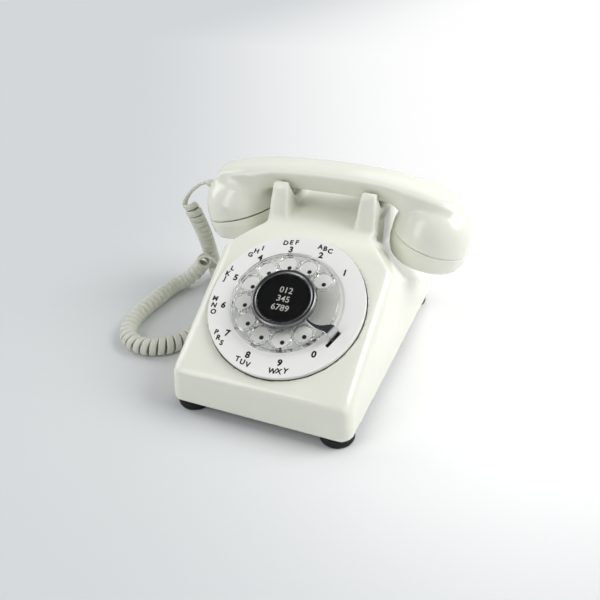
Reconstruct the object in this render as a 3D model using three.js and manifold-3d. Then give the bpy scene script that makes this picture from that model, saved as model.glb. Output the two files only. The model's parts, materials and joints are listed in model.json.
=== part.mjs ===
// Rotary desk telephone, built as separate pieces in millimetres.
// +X is the right side, +Y the back and +Z up; Z = 0 is the surface that it stands on.
// The origin is below the middle of the telephone's box, measured without the handset cord.
import * as THREE from "three";
import { mergeVertices } from "three/addons/utils/BufferGeometryUtils.js";
import Module from "manifold-3d";

const wasm = await Module();
wasm.setup();

// ---------------------------------------------------------------- clearances
const TOUCH = 0.3; // between pieces that rest on each other inside turned groups
const RUNNING = 0.5; // round shafts and buttons that slide or turn
const SEAM = 0.7; // visible gap round the dial

// ---------------------------------------------------------------- stand and housing
const FOOT_HEIGHT = 8;
const FOOT_RADIUS = 13;
const FOOT_INSET = 0.5; // from the foot's edge to the housing's edge
const PLATE_THICKNESS = 1.5;
const BODY_LENGTH = 215;
const FRONT_Y = -BODY_LENGTH / 2;
const REAR_Y = BODY_LENGTH / 2;
const FRONT_HALF_WIDTH = 66.5;
const REAR_HALF_WIDTH = 77.5;
const SIDE_DRAFT = 0.055; // inward lean of the side walls per millimetre of height
const CORNER_RADIUS = 9;
const WALL = 2.6;
const SKIRT_LEAN = 1.2; // how far the front skirt leans back at the crease
const BOSS_RADIUS = 4;
const FRONT_BOSS_TOP = 32;
const REAR_BOSS_TOP = 26;
const REAR_BOSS_INSET = 10;
const REAR_LEAN = 0.227; // inward lean of the rear wall per millimetre of height
const REAR_KNEE_Z = 52; // where the rear wall turns to the slope below the cradle
const JACK_X = -30;
const JACK_Z = 13;
const JACK_WIDTH = 16;
const JACK_HEIGHT = 13;
const JACK_DEPTH = 18;
const SOCKET_WIDTH = 11.6;
const SOCKET_HEIGHT = 7;
const SOCKET_DEPTH = 13;

// ---------------------------------------------------------------- dial
const DIAL_TILT = 29.5; // degrees from level
const DIAL_Y = FRONT_Y + 57.7;
const DIAL_Z = 68;
const FACE_DEPTH = 1.6; // housing face below the printed dish
const PLATE_RADIUS = 56.5;
const DISH_RADIUS = 40.2;
const RING_RISE = 2.2; // printed ring above the dish
const RING_FALL = 1.4; // ring's slope down to its rim
const NUMBER_PLATE_THICKNESS = 1.6;
const PLATE_RIM = 3.2; // depth of the number plate's turned-down edge
const WHEEL_RADIUS = 39.6;
const WHEEL_THICKNESS = 3;
const WHEEL_HEIGHT = 3; // wheel's underside above the dish
const HOLE_COUNT = 10;
const HOLE_CIRCLE = 29.9;
const HOLE_RADIUS = 6.7;
const HOLE_PITCH = 30; // degrees between finger holes
const FIRST_HOLE = 43.8; // degrees, the hole of the digit 1
const RETAINER_RADIUS = 23.4;
const RETAINER_HEIGHT = 3.6;
const CARD_RADIUS = 19.1;
const STOP_ANGLE = -25.5; // degrees
const STOP_FOOT_RADIUS = 44.2;
const STOP_WIDTH = 12.7;
const STOP_SHEET = 1.2;
const SHAFT_RADIUS = 3;
const FRAME_RADIUS = 40;
const FRAME_DEPTH = 7.5; // top of the dial frame below the dish
const FRAME_THICKNESS = 2;
const BRACKET_X = 46;
const BRACKET_SHEET = 2;

// ---------------------------------------------------------------- dial gears
const MODULE = 1;
const MAIN_TEETH = 48;
const PINION_TEETH = 12;
const WHEEL_TEETH = 27;
const GOVERNOR_TEETH = 18;
const GEAR_FACE = 1.6;
const INTERMEDIATE_ANGLE = 250; // degrees, from the main shaft
const GOVERNOR_ANGLE = 140; // degrees, from the intermediate shaft
const CUP_WALL = 1.2;
const GOVERNOR_RADIUS = 10;
const GOVERNOR_DEPTH = 9;
const INTERMEDIATE_SHAFT = 2;
const GOVERNOR_SHAFT = 1.4;
const PULSE_PLACE = [25, 24];
const SPRING_CASE_RADIUS = 14;
const SPRING_CASE_DEPTH = 9;

// ---------------------------------------------------------------- cradle
const CRADLE_Y = REAR_Y - 57.5;
const YOKE_X = 35;
const YOKE_WIDTH = 16;
const YOKE_TOP = 124.4;
const SADDLE_Z = 108.2;
const TROUGH_Z = 103.8;
const FACE_TOP_Y = CRADLE_Y - 51.5;
const EAR_FOOT_Y = CRADLE_Y - 30.6;
const YOKE_TAPER = 0.0102; // narrowing per millimetre of height
const PEDESTAL_FRONT_X = 42.7;
const PEDESTAL_REAR_X = 45.2;
const PEDESTAL_STEP_Y = CRADLE_Y - 12.5;
const SHOULDER_Z = 93.6; // shoulder beside the front of the yokes
const SHOULDER_OUT_SLOPE = 1.06; // fall of the shoulders per millimetre outward
const SHOULDER_BACK_SLOPE = 0.48; // and per millimetre to the back
const PLUNGER_RADIUS = 3.2;
const PLUNGER_TRAVEL = 5.5;
const PLUNGER_FLANGE = 4.8;

// ---------------------------------------------------------------- hookswitch
const LEVER_TOP = 90;
const LEVER_SHEET = 1.6;
const LEVER_PIVOT_Y = CRADLE_Y - 32;
const LEVER_PIVOT_Z = 81;
const LEVER_ARM_X = 14;
const HOOK_ARM_X = 17;
const HOOK_FOOT_Y = LEVER_PIVOT_Y - 10;
const PIN_RADIUS = 1.6;
const TIE_Z = 55; // crosspiece of the hookswitch bracket, which carries the contacts
const LEAF_REACH = 22;

// ---------------------------------------------------------------- handset
const HANDSET_X = 1.5; // the handset lies a little to the right in its cradle
const SEAM_Z = 89.6;
const HEAD_TILT = 11; // degrees, the caps face each other slightly
const SEAM_TILT = 5; // degrees more, so that the seams rise to the inside
const HEAD_RADIUS = 31;
const HEAD_CLEARANCE = 2.8; // from a head to the pedestal between the two
const HEAD_X = PEDESTAL_REAR_X + HEAD_CLEARANCE + HEAD_RADIUS;
const HEAD_HEIGHT = 33;
const SEAM_REACH = 4; // more than the seam's rise on either side
const HEAD_WALL = 3;
const CAP_DEPTH = 17.6;
const CAP_WALL = 2.6;
const SOUND_HOLE = 1.1;
const CAPSULE_RADIUS = 22.5;
const WIRE_CHANNEL = 3;
const HANDSET_EXIT_Z = 106;
const GROMMET_NECK = 3.4;
const GROMMET_REACH = 2; // from the side of the head to the grommet's end
const HANDLE_UNDERSIDE = 116.1;
const HANDLE_THICKNESS = 16.2; // underside to the top crease
const HANDLE_CROWN = 4.5; // top above its creases
const HANDLE_TOP_HALF = 17.9;
const HANDLE_BOTTOM_HALF = 11.7;
const HANDLE_HALF_LENGTH = 94.5;
const HANDLE_DROP = 14; // fall of the handle at its ends
const HANDLE_DROP_POWER = 2.6;

// ---------------------------------------------------------------- ringer and volume
const GONG_RADIUS = 26.5;
const GONG_X = 34;
const GONG_Y = REAR_Y - 38.5;
const GONG_RIM_Z = 28;
const GONG_HEIGHT = 17;
const GONG_WALL = 1.6;
const GONG_POST_RADIUS = 4;
const COIL_RADIUS = 11;
const COIL_LENGTH = 30;
const COIL_Z = 27;
const COIL_CORE = 3;
const CLAPPER_PIVOT_Y = GONG_Y - 20;
const COIL_Y = CLAPPER_PIVOT_Y - 17;
const CLAPPER_Z = 33;
const CLAPPER_BALL = 4;
const VOLUME_RADIUS = 11;
const VOLUME_X = 52;
const VOLUME_Y = GONG_Y - 23;
const VOLUME_THICKNESS = 3;
const NETWORK = [-60, -22, DIAL_Y + 32.8, DIAL_Y + 63.8]; // left, right, front and back
const NETWORK_TOP = 36;

// ---------------------------------------------------------------- handset cord
const STRAND_WIDTH = 5.4; // the cord is flat
const STRAND_THICKNESS = 2.8;
const COIL_CORD_RADIUS = 7.1;
const GROMMET_RADIUS = 4.2;
const GROMMET_Y = -12.4;
const GROMMET_Z = 16.2;
const CORD_LEAD_HANDSET = [
  [-110.8, 50, 106],
  [-115.2, 50, 105.6],
  [-121.7, 50, 101.8],
  [-129.3, 50, 95.2],
  [-135.6, 50, 87.4],
  [-138, 49.7, 83],
  [-136.9, 49.5, 80],
];
const CORD_COIL_UPPER = [
  [-131.8, 49.5, 82.4],
  [-127.6, 50, 76.8],
  [-125.2, 52, 67.6],
  [-123.7, 56, 56],
  [-123.7, 60.5, 44.6],
  [-124.4, 65.5, 32.2],
  [-125.2, 70.5, 19.6],
  [-123.8, 71.6, 11],
  [-119.2, 66.6, 7.4],
  [-114.2, 59, 7.2],
  [-109.8, 52, 7.2],
];
const CORD_LINK = [
  [-109.2, 51.2, 12.4],
  [-107.6, 49.6, 14.6],
  [-104.9, 48.2, 19],
  [-103.2, 46.6, 25],
  [-104.4, 44.8, 31.4],
  [-108.4, 43.8, 36.4],
  [-112, 43.6, 38.8],
];
const CORD_COIL_LOWER = [
  [-117.4, 42.3, 34.2],
  [-120.6, 47.4, 30.8],
  [-124.8, 50.9, 25.6],
  [-130, 49.8, 18.4],
  [-136.2, 45.6, 12],
  [-141.4, 40.4, 8.4],
  [-145.6, 32.7, 7.2],
  [-147.8, 23.6, 7.2],
  [-149.3, 3.3, 7.2],
  [-150, -15.1, 7.2],
  [-148.4, -32.8, 7.2],
  [-142.2, -47.8, 7.2],
  [-131.5, -56.8, 7.2],
  [-120.5, -59, 7.2],
  [-111.4, -56.8, 7.2],
  [-103.6, -52, 7.2],
  [-97.7, -44.7, 7.2],
  [-93.7, -35.8, 7.2],
  [-91.6, -28.4, 7.2],
];
const CORD_LEAD_HOUSING = [
  [-91.2, -27.3, 7.5],
  [-90.2, -23.6, 8.6],
  [-87.4, -18.2, 12],
  [-84, -14.4, 15],
  [-80.4, -12.6, 16.1],
  [-77.2, -12.4, 16.2],
];

// ---------------------------------------------------------------- derived sizes
const PLATE_Z = FOOT_HEIGHT;
const PLATE_TOP = PLATE_Z + PLATE_THICKNESS;
const RADIANS = Math.PI / 180;
const TILT = DIAL_TILT * RADIANS;
const WHEEL_TOP = WHEEL_HEIGHT + WHEEL_THICKNESS;
const RETAINER_Z = WHEEL_TOP + TOUCH;
const REAR_FACE_Z = 89; // inside the housing's rear slope, below the rear ears
const FRAME_TOP = -FRAME_DEPTH;
const FRAME_BOTTOM = FRAME_TOP - FRAME_THICKNESS;
const MAIN_GEAR_Z = FRAME_BOTTOM - 1 - GEAR_FACE;
const WHEEL_GEAR_Z = MAIN_GEAR_Z - 1.4 - GEAR_FACE;
const SPRING_CASE_Z = WHEEL_GEAR_Z - 1.4 - SPRING_CASE_DEPTH;
const GOVERNOR_Z = WHEEL_GEAR_Z - 1.4 - GOVERNOR_DEPTH;
const CREASE_Y = FRONT_Y + SKIRT_LEAN;
const DIAL_HOLE = PLATE_RADIUS + SEAM;
const RING_EDGE = RING_RISE - RING_FALL;
const PLATE_BORE = SHAFT_RADIUS + 4;
const STOP_TOP = WHEEL_TOP + 2;
const INTERMEDIATE_PLACE = polar((MODULE * (MAIN_TEETH + PINION_TEETH)) / 2, INTERMEDIATE_ANGLE);
const GOVERNOR_STEP = polar((MODULE * (WHEEL_TEETH + GOVERNOR_TEETH)) / 2, GOVERNOR_ANGLE);
const GOVERNOR_PLACE = [INTERMEDIATE_PLACE[0] + GOVERNOR_STEP[0], INTERMEDIATE_PLACE[1] + GOVERNOR_STEP[1]];
const PLUNGER_BORE = PLUNGER_RADIUS + RUNNING;
const BOSS_FRONT_Y = FRONT_Y + WALL + BOSS_RADIUS - 0.6;
const BOSS_REAR_Y = REAR_Y - REAR_BOSS_INSET;
const HANDLE_CREASE_Z = HANDLE_UNDERSIDE + HANDLE_THICKNESS;
const PLUNGER_TOP = HANDLE_UNDERSIDE - handleDrop(HANDSET_X + YOKE_X + PLUNGER_RADIUS) - TOUCH;
const CEILING_Z = TROUGH_Z - WALL;
const FLANGE_TOP = CEILING_Z - PLUNGER_TRAVEL - RUNNING;

// ---------------------------------------------------------------- solids and cuts
// A closed geometry as a manifold solid, with its faces pointing out.
function solid(geometry) {
  let bare = geometry.index ? geometry.toNonIndexed() : geometry.clone();
  bare.deleteAttribute("normal");
  bare.deleteAttribute("uv");
  bare = mergeVertices(bare, 1e-4);
  const points = bare.attributes.position.array;
  const index = bare.index.array;
  const kept = [];
  let volume = 0;
  for (let i = 0; i < index.length; i += 3) {
    const [a, b, c] = [index[i], index[i + 1], index[i + 2]];
    if (a === b || b === c || c === a) continue;
    kept.push(a, b, c);
    const p = new THREE.Vector3().fromArray(points, 3 * a);
    const q = new THREE.Vector3().fromArray(points, 3 * b);
    const r = new THREE.Vector3().fromArray(points, 3 * c);
    volume += p.dot(q.cross(r));
  }
  if (volume < 0) kept.reverse();
  const mesh = new wasm.Mesh({
    numProp: 3,
    vertProperties: Float32Array.from(points),
    triVerts: Uint32Array.from(kept),
  });
  return new wasm.Manifold(mesh);
}

function geometryOf(body) {
  const mesh = body.getMesh();
  const geometry = new THREE.BufferGeometry();
  geometry.setAttribute("position", new THREE.BufferAttribute(mesh.vertProperties, 3));
  geometry.setIndex(new THREE.BufferAttribute(mesh.triVerts, 1));
  return geometry;
}

function join(...geometries) {
  return geometryOf(geometries.map(solid).reduce((a, b) => a.add(b)));
}

function cut(geometry, ...tools) {
  return geometryOf(tools.map(solid).reduce((a, b) => a.subtract(b), solid(geometry)));
}

function common(...geometries) {
  return geometryOf(geometries.map(solid).reduce((a, b) => a.intersect(b)));
}

// ---------------------------------------------------------------- plain shapes
function box(x0, x1, y0, y1, z0, z1) {
  const geometry = new THREE.BoxGeometry(x1 - x0, y1 - y0, z1 - z0);
  return geometry.translate((x0 + x1) / 2, (y0 + y1) / 2, (z0 + z1) / 2);
}

// A cylinder that stands on z = bottom.
function rod(radius, bottom, top, sides = 20) {
  const geometry = new THREE.CylinderGeometry(radius, radius, top - bottom, sides);
  return geometry.rotateX(Math.PI / 2).translate(0, 0, (bottom + top) / 2);
}

// A turned shape: its outline is a list of [radius, height].
function turned(outline, sides = 32) {
  const points = outline.map(([r, z]) => new THREE.Vector2(r, z));
  return new THREE.LatheGeometry(points, sides).rotateX(Math.PI / 2);
}

function ring(inner, outer, bottom, top, sides = 32) {
  return turned([[inner, bottom], [outer, bottom], [outer, top], [inner, top], [inner, bottom]], sides);
}

// A flat outline in X and Y, raised from z = bottom to z = top.
function prism(outline, bottom, top) {
  const shape = new THREE.Shape(outline.map(([x, y]) => new THREE.Vector2(x, y)));
  const geometry = new THREE.ExtrudeGeometry(shape, { depth: top - bottom, bevelEnabled: false });
  return geometry.translate(0, 0, bottom);
}

// An outline in Y and Z, drawn out along X from x0 to x1.
const SIDE_ON = new THREE.Matrix4().makeBasis(
  new THREE.Vector3(0, 1, 0),
  new THREE.Vector3(0, 0, 1),
  new THREE.Vector3(1, 0, 0),
);

function sidePrism(outline, x0, x1, options = {}) {
  const shape = new THREE.Shape(outline.map(([y, z]) => new THREE.Vector2(y, z)));
  const settings = { depth: x1 - x0, bevelEnabled: false, ...options };
  const geometry = new THREE.ExtrudeGeometry(shape, settings);
  return geometry.translate(0, 0, x0).applyMatrix4(SIDE_ON);
}

// Moves every vertex by a rule that takes and changes a point.
function reshape(geometry, rule) {
  const position = geometry.attributes.position;
  const point = new THREE.Vector3();
  for (let i = 0; i < position.count; i += 1) {
    point.fromBufferAttribute(position, i);
    rule(point);
    position.setXYZ(i, point.x, point.y, point.z);
  }
  return geometry;
}

// A cord through the points, with an oval section that is wide and thick as given.
function cordTube(points, wide, thick, steps, sides = 8) {
  const route = points.map((p) => new THREE.Vector3(...p));
  const curve = new THREE.CatmullRomCurve3(route, false, "centripetal");
  const section = new THREE.Shape();
  for (let i = 0; i < sides; i += 1) {
    const angle = (2 * Math.PI * (i + 0.5)) / sides;
    const place = [(wide / 2) * Math.cos(angle), (thick / 2) * Math.sin(angle)];
    if (i === 0) section.moveTo(...place);
    else section.lineTo(...place);
  }
  return new THREE.ExtrudeGeometry(section, { steps, bevelEnabled: false, extrudePath: curve });
}

function at(x, y, z, geometry) {
  return geometry.clone().translate(x, y, z);
}

function polar(radius, degrees) {
  return [radius * Math.cos(degrees * RADIANS), radius * Math.sin(degrees * RADIANS)];
}

// ---------------------------------------------------------------- the scene graph
const materials = {
  ivory: { color: 0xe9e8dc, roughness: 0.28, metalness: 0 },
  cordIvory: { color: 0xd9d9ce, roughness: 0.5, metalness: 0 },
  print: { color: 0xededea, roughness: 0.35, metalness: 0 },
  clear: { color: 0xe4e6e4, roughness: 0.08, metalness: 0 },
  black: { color: 0x0c0c0c, roughness: 0.4, metalness: 0 },
  rubber: { color: 0x161616, roughness: 0.85, metalness: 0 },
  chrome: { color: 0xc9ccce, roughness: 0.12, metalness: 1 },
  steel: { color: 0x9da1a4, roughness: 0.4, metalness: 1 },
  brass: { color: 0xb79a55, roughness: 0.3, metalness: 1 },
  grey: { color: 0x7c7f80, roughness: 0.6, metalness: 0 },
  copper: { color: 0x9a5a34, roughness: 0.45, metalness: 0.6 },
};

function piece(parent, name, geometry, look) {
  const mesh = new THREE.Mesh(geometry, new THREE.MeshStandardMaterial(materials[look]));
  mesh.name = name;
  parent.add(mesh);
  return mesh;
}

const telephone = new THREE.Group();

const dial = new THREE.Group();
dial.position.set(0, DIAL_Y, DIAL_Z);
dial.rotation.x = TILT;
telephone.add(dial);

const DIAL_MATRIX = new THREE.Matrix4().makeRotationX(TILT).setPosition(0, DIAL_Y, DIAL_Z);

function onDial(geometry) {
  return geometry.clone().applyMatrix4(DIAL_MATRIX);
}

// ---------------------------------------------------------------- housing form
// Height of the sloping face at a place along the telephone.
function faceHeight(y) {
  return DIAL_Z - FACE_DEPTH / Math.cos(TILT) + (y - DIAL_Y) * Math.tan(TILT);
}

// The rear wall leans in: its place at a height.
function rearWall(z) {
  return REAR_Y - ((z - PLATE_Z) * REAR_LEAN);
}

function halfWidth(y, z) {
  const along = (y - FRONT_Y) / BODY_LENGTH;
  return FRONT_HALF_WIDTH + (REAR_HALF_WIDTH - FRONT_HALF_WIDTH) * along - (z - PLATE_Z) * SIDE_DRAFT;
}

// Rounds one corner of an outline with a few points.
function rounded(before, corner, after, radius, count = 4) {
  const v = (p) => new THREE.Vector2(...p);
  const inward = v(before).sub(v(corner)).normalize();
  const outward = v(after).sub(v(corner)).normalize();
  const half = Math.acos(inward.dot(outward)) / 2;
  const reach = radius / Math.tan(half);
  const start = v(corner).addScaledVector(inward, reach);
  const end = v(corner).addScaledVector(outward, reach);
  const curve = new THREE.QuadraticBezierCurve(start, v(corner), end);
  return curve.getPoints(count).map((p) => [p.x, p.y]);
}

const SIDE_CORNERS = [
  { place: [FRONT_Y - 0.9, FOOT_HEIGHT - 22], radius: 0 },
  { place: [CREASE_Y, faceHeight(CREASE_Y)], radius: 0 },
  { place: [FACE_TOP_Y, faceHeight(FACE_TOP_Y)], radius: 30 },
  { place: [CRADLE_Y - 6, TROUGH_Z], radius: 4 },
  { place: [CRADLE_Y + 26, TROUGH_Z], radius: 4 },
  { place: [rearWall(REAR_KNEE_Z), REAR_KNEE_Z], radius: 14 },
  { place: [rearWall(FOOT_HEIGHT - 22), FOOT_HEIGHT - 22], radius: 0 },
  { place: [0, FOOT_HEIGHT - 70], radius: 0 },
];

// Side view of the housing, moved inward by an offset.
function sideOutline(offset) {
  const moved = SIDE_CORNERS.map((corner, i) => {
    const all = SIDE_CORNERS.length;
    const before = SIDE_CORNERS[(i + all - 1) % all].place;
    const after = SIDE_CORNERS[(i + 1) % all].place;
    const normal = ([ax, ay], [bx, by]) => new THREE.Vector2(by - ay, ax - bx).normalize();
    const one = normal(before, corner.place);
    const two = normal(corner.place, after);
    const middle = one.clone().add(two).normalize();
    const step = offset / middle.dot(one);
    const place = [corner.place[0] + middle.x * step, corner.place[1] + middle.y * step];
    return { place, radius: corner.radius };
  });
  return moved.flatMap((corner, i) => {
    if (corner.radius === 0) return [corner.place];
    return rounded(moved[i - 1].place, corner.place, moved[i + 1].place, corner.radius);
  });
}

// The housing's outer form, or its hollow when an offset is given, cut level at z = bottom.
function housingForm(offset, bottom) {
  const nominal = REAR_HALF_WIDTH - CORNER_RADIUS;
  const form = sidePrism(sideOutline(CORNER_RADIUS), -nominal, nominal, {
    bevelEnabled: true,
    bevelThickness: CORNER_RADIUS - offset,
    bevelSize: CORNER_RADIUS - offset,
    bevelSegments: 4,
    steps: 1,
  });
  reshape(form, (p) => {
    const edge = nominal + CORNER_RADIUS - offset;
    p.x *= (halfWidth(p.y, p.z) - offset) / edge;
  });
  return common(form, box(-100, 100, -150, 150, bottom, 200));
}

// What the shoulders lose beside the yokes, so that the handset's caps hang free.
function shoulderCut(offset) {
  const lower = offset * Math.hypot(1, SHOULDER_OUT_SLOPE, SHOULDER_BACK_SLOPE);
  const wedge = (x0, y0, y1) => reshape(box(x0, 110, y0, y1, 0, 200), (p) => {
    if (p.z > 100) return;
    const out = p.x - PEDESTAL_FRONT_X;
    const back = p.y - EAR_FOOT_Y;
    p.z = SHOULDER_Z - lower - out * SHOULDER_OUT_SLOPE - back * SHOULDER_BACK_SLOPE;
  });
  const front = wedge(PEDESTAL_FRONT_X - offset, -60, PEDESTAL_STEP_Y + offset);
  const rear = wedge(PEDESTAL_REAR_X - offset, PEDESTAL_STEP_Y - 1, 130);
  return join(front, rear);
}

function mirrored(geometry) {
  return reshape(geometry.clone(), (p) => {
    p.x = -p.x;
  });
}

// A yoke: two ears with the saddle for the handle between them.
function yoke(side) {
  const half = CRADLE_Y - EAR_FOOT_Y;
  const rising = [
    [half, TROUGH_Z - 6],
    [half - 6.5, YOKE_TOP - 3.5],
    [half - 9, YOKE_TOP],
    [half - 13.5, YOKE_TOP],
    [16.4, YOKE_TOP - 1.5],
    [13.6, SADDLE_Z + 9.2],
    [9.5, SADDLE_Z + 3.2],
    [5, SADDLE_Z],
  ];
  const front = rising.map(([y, z]) => [CRADLE_Y - y, z]);
  const rear = rising.map(([y, z]) => [CRADLE_Y + y, z]).reverse();
  const back = CRADLE_Y + half;
  const below = [[back, REAR_FACE_Z], [back - 12, TROUGH_Z - 3], [CRADLE_Y, TROUGH_Z - 1.5]];
  const outline = [...front, ...rear, ...below, [EAR_FOOT_Y, TROUGH_Z - 8]];
  const body = sidePrism(outline, -YOKE_WIDTH / 2, YOKE_WIDTH / 2);
  reshape(body, (p) => {
    const height = Math.max(0, p.z - TROUGH_Z + 6);
    p.x *= 1 - YOKE_TAPER * height;
    p.x += side * YOKE_X;
  });
  return body;
}

function screwBoss(y, top) {
  const bore = rod(1.2, PLATE_TOP, PLATE_TOP + 9, 10);
  return at(0, y, 0, cut(rod(BOSS_RADIUS, PLATE_TOP + TOUCH, top, 16), bore));
}

function housing() {
  const outside = cut(housingForm(0, PLATE_Z), shoulderCut(0), mirrored(shoulderCut(0)));
  const hollow = cut(housingForm(WALL, 0), shoulderCut(WALL), mirrored(shoulderCut(WALL)));
  const shell = cut(outside, hollow);
  const opening = onDial(rod(DIAL_HOLE, -30, 20, 40));
  const bore = rod(PLUNGER_BORE, CEILING_Z - 12, YOKE_TOP, 16);
  const bores = [-YOKE_X, YOKE_X].map((x) => at(x, CRADLE_Y, 0, bore));
  const bosses = [screwBoss(BOSS_FRONT_Y, FRONT_BOSS_TOP), screwBoss(BOSS_REAR_Y, REAR_BOSS_TOP)];
  const whole = join(shell, yoke(-1), yoke(1), ...bosses);
  return cut(whole, opening, ...bores, grommetHole(), jackHole());
}

function grommetHole() {
  const hole = rod(GROMMET_RADIUS + TOUCH, -20, 20, 16).rotateY(Math.PI / 2);
  return hole.translate(-halfWidth(GROMMET_Y, GROMMET_Z), GROMMET_Y, GROMMET_Z);
}

function jackHole() {
  const edge = JACK_WIDTH / 2 + TOUCH;
  const [low, high] = [JACK_Z - TOUCH, JACK_Z + JACK_HEIGHT + TOUCH];
  return box(JACK_X - edge, JACK_X + edge, REAR_Y - 20, REAR_Y + 5, low, high);
}

// The piece that closes the housing from below, with the feet under it.
function plateOutline(inset) {
  const front = halfWidth(FRONT_Y, PLATE_Z) - inset;
  const rear = halfWidth(REAR_Y, PLATE_Z) - inset;
  const low = FRONT_Y + inset;
  const high = rearWall(PLATE_TOP) - inset;
  const loop = [[-front, low], [front, low], [rear, high], [-rear, high]];
  return loop.flatMap((corner, i) => {
    return rounded(loop[(i + 3) % 4], corner, loop[(i + 1) % 4], CORNER_RADIUS);
  });
}

function basePlate() {
  const plate = prism(plateOutline(WALL + SEAM), PLATE_Z, PLATE_TOP);
  const holes = [BOSS_FRONT_Y, BOSS_REAR_Y].map((y) => at(0, y, 0, rod(1.9, 0, 20, 10)));
  const volume = at(VOLUME_X, VOLUME_Y, 0, rod(SHAFT_RADIUS + RUNNING, 0, 20, 14));
  return cut(plate, ...holes, volume);
}

function footPlaces() {
  const inset = FOOT_INSET + FOOT_RADIUS;
  return [["front", FRONT_Y + inset], ["rear", REAR_Y - inset]].flatMap(([end, y]) => {
    const x = halfWidth(y, PLATE_Z) - inset;
    return [[`foot_${end}_left`, -x, y], [`foot_${end}_right`, x, y]];
  });
}

function foot() {
  return turned([
    [0, 0],
    [FOOT_RADIUS - 1.6, 0],
    [FOOT_RADIUS - 0.5, 1],
    [FOOT_RADIUS, 3],
    [FOOT_RADIUS, FOOT_HEIGHT],
    [0, FOOT_HEIGHT],
  ], 20);
}

function bodyScrew() {
  return join(rod(3.4, PLATE_Z - 2.2, PLATE_Z, 12), rod(0.9, PLATE_Z - 1, PLATE_TOP + 8, 10));
}

function addHousing() {
  piece(telephone, "housing", housing(), "ivory");
  piece(telephone, "base_plate", basePlate(), "steel");
  for (const [name, x, y] of footPlaces()) piece(telephone, name, at(x, y, 0, foot()), "rubber");
  piece(telephone, "housing_screw_front", at(0, BOSS_FRONT_Y, 0, bodyScrew()), "steel");
  piece(telephone, "housing_screw_rear", at(0, BOSS_REAR_Y, 0, bodyScrew()), "steel");
}

// ---------------------------------------------------------------- dial pieces
function numberPlate() {
  const plate = turned([
    [PLATE_BORE, -NUMBER_PLATE_THICKNESS],
    [DISH_RADIUS + 1, -NUMBER_PLATE_THICKNESS],
    [DISH_RADIUS + 3, RING_RISE - NUMBER_PLATE_THICKNESS - 0.6],
    [PLATE_RADIUS - 1.4, RING_EDGE - NUMBER_PLATE_THICKNESS],
    [PLATE_RADIUS - 1.4, RING_EDGE - PLATE_RIM],
    [PLATE_RADIUS, RING_EDGE - PLATE_RIM],
    [PLATE_RADIUS, RING_EDGE],
    [DISH_RADIUS + 1.6, RING_RISE],
    [DISH_RADIUS, 0],
    [PLATE_BORE, 0],
    [PLATE_BORE, -NUMBER_PLATE_THICKNESS],
  ], 40);
  const half = STOP_WIDTH / 2 + 0.4;
  const slot = box(STOP_FOOT_RADIUS - 1.1, STOP_FOOT_RADIUS + 1.1, -half, half, -9, 9);
  return cut(plate, slot.rotateZ(STOP_ANGLE * RADIANS));
}

function dialFrame() {
  const disc = rod(FRAME_RADIUS, FRAME_BOTTOM, FRAME_TOP, 28);
  const posts = [40, 150, 250].map((angle) => {
    const [x, y] = polar(FRAME_RADIUS - 4, angle);
    return at(x, y, 0, rod(3, FRAME_TOP - 0.5, -NUMBER_PLATE_THICKNESS - TOUCH, 12));
  });
  const ears = [-1, 1].map((side) => {
    const inner = side * (FRAME_RADIUS - 4);
    const outer = side * BRACKET_X;
    return box(Math.min(inner, outer), Math.max(inner, outer), -8, 8, FRAME_BOTTOM, FRAME_TOP);
  });
  const bearing = rod(SHAFT_RADIUS + 3, FRAME_TOP - 0.5, FRAME_TOP + 3, 20);
  const half = STOP_WIDTH / 2 + 2;
  const stopSeat = box(FRAME_RADIUS - 4, STOP_FOOT_RADIUS + 3, -half, half, FRAME_BOTTOM, FRAME_TOP);
  const holes = [
    rod(SHAFT_RADIUS + RUNNING, -40, 20, 20),
    at(...INTERMEDIATE_PLACE, 0, rod(INTERMEDIATE_SHAFT + RUNNING, -40, 20, 16)),
    at(...GOVERNOR_PLACE, 0, rod(GOVERNOR_SHAFT + RUNNING, -40, 20, 14)),
  ];
  return cut(join(disc, ...posts, ...ears, bearing, stopSeat.rotateZ(STOP_ANGLE * RADIANS)), ...holes);
}

// The chrome hook that stops the finger: a sheet bent up at its foot and in over the wheel.
function fingerStop() {
  const top = STOP_TOP;
  const foot = STOP_FOOT_RADIUS;
  const bent = sidePrism([
    [foot - STOP_SHEET / 2, FRAME_TOP + TOUCH],
    [foot + STOP_SHEET / 2, FRAME_TOP + TOUCH],
    [foot + STOP_SHEET / 2, top - 2],
    [foot - 2.4, top + STOP_SHEET],
    [foot - 8, top + STOP_SHEET - 0.4],
    [30, top + STOP_SHEET - 0.2],
    [RETAINER_RADIUS + 1.2, top + STOP_SHEET + 0.6],
    [RETAINER_RADIUS + 1.2, top + 0.6],
    [30, top - 0.2],
    [foot - 8, top - 0.4],
    [foot - 3, top],
    [foot - STOP_SHEET / 2, top - 2.6],
  ], -STOP_WIDTH / 2, STOP_WIDTH / 2);
  bent.rotateZ(-Math.PI / 2);
  const sheet = [
    [foot + 2, -STOP_WIDTH / 2],
    [foot + 2, STOP_WIDTH / 2],
    [foot - 5, STOP_WIDTH / 2],
    [foot - 8, 3.4],
    [32, 0.6],
    [RETAINER_RADIUS, -0.8],
    [RETAINER_RADIUS, -3.6],
    [30, -3.2],
    [foot - 8, -3.6],
    [foot - 5, -STOP_WIDTH / 2],
  ];
  return common(bent, prism(sheet, -20, 20)).rotateZ(STOP_ANGLE * RADIANS);
}

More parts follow.
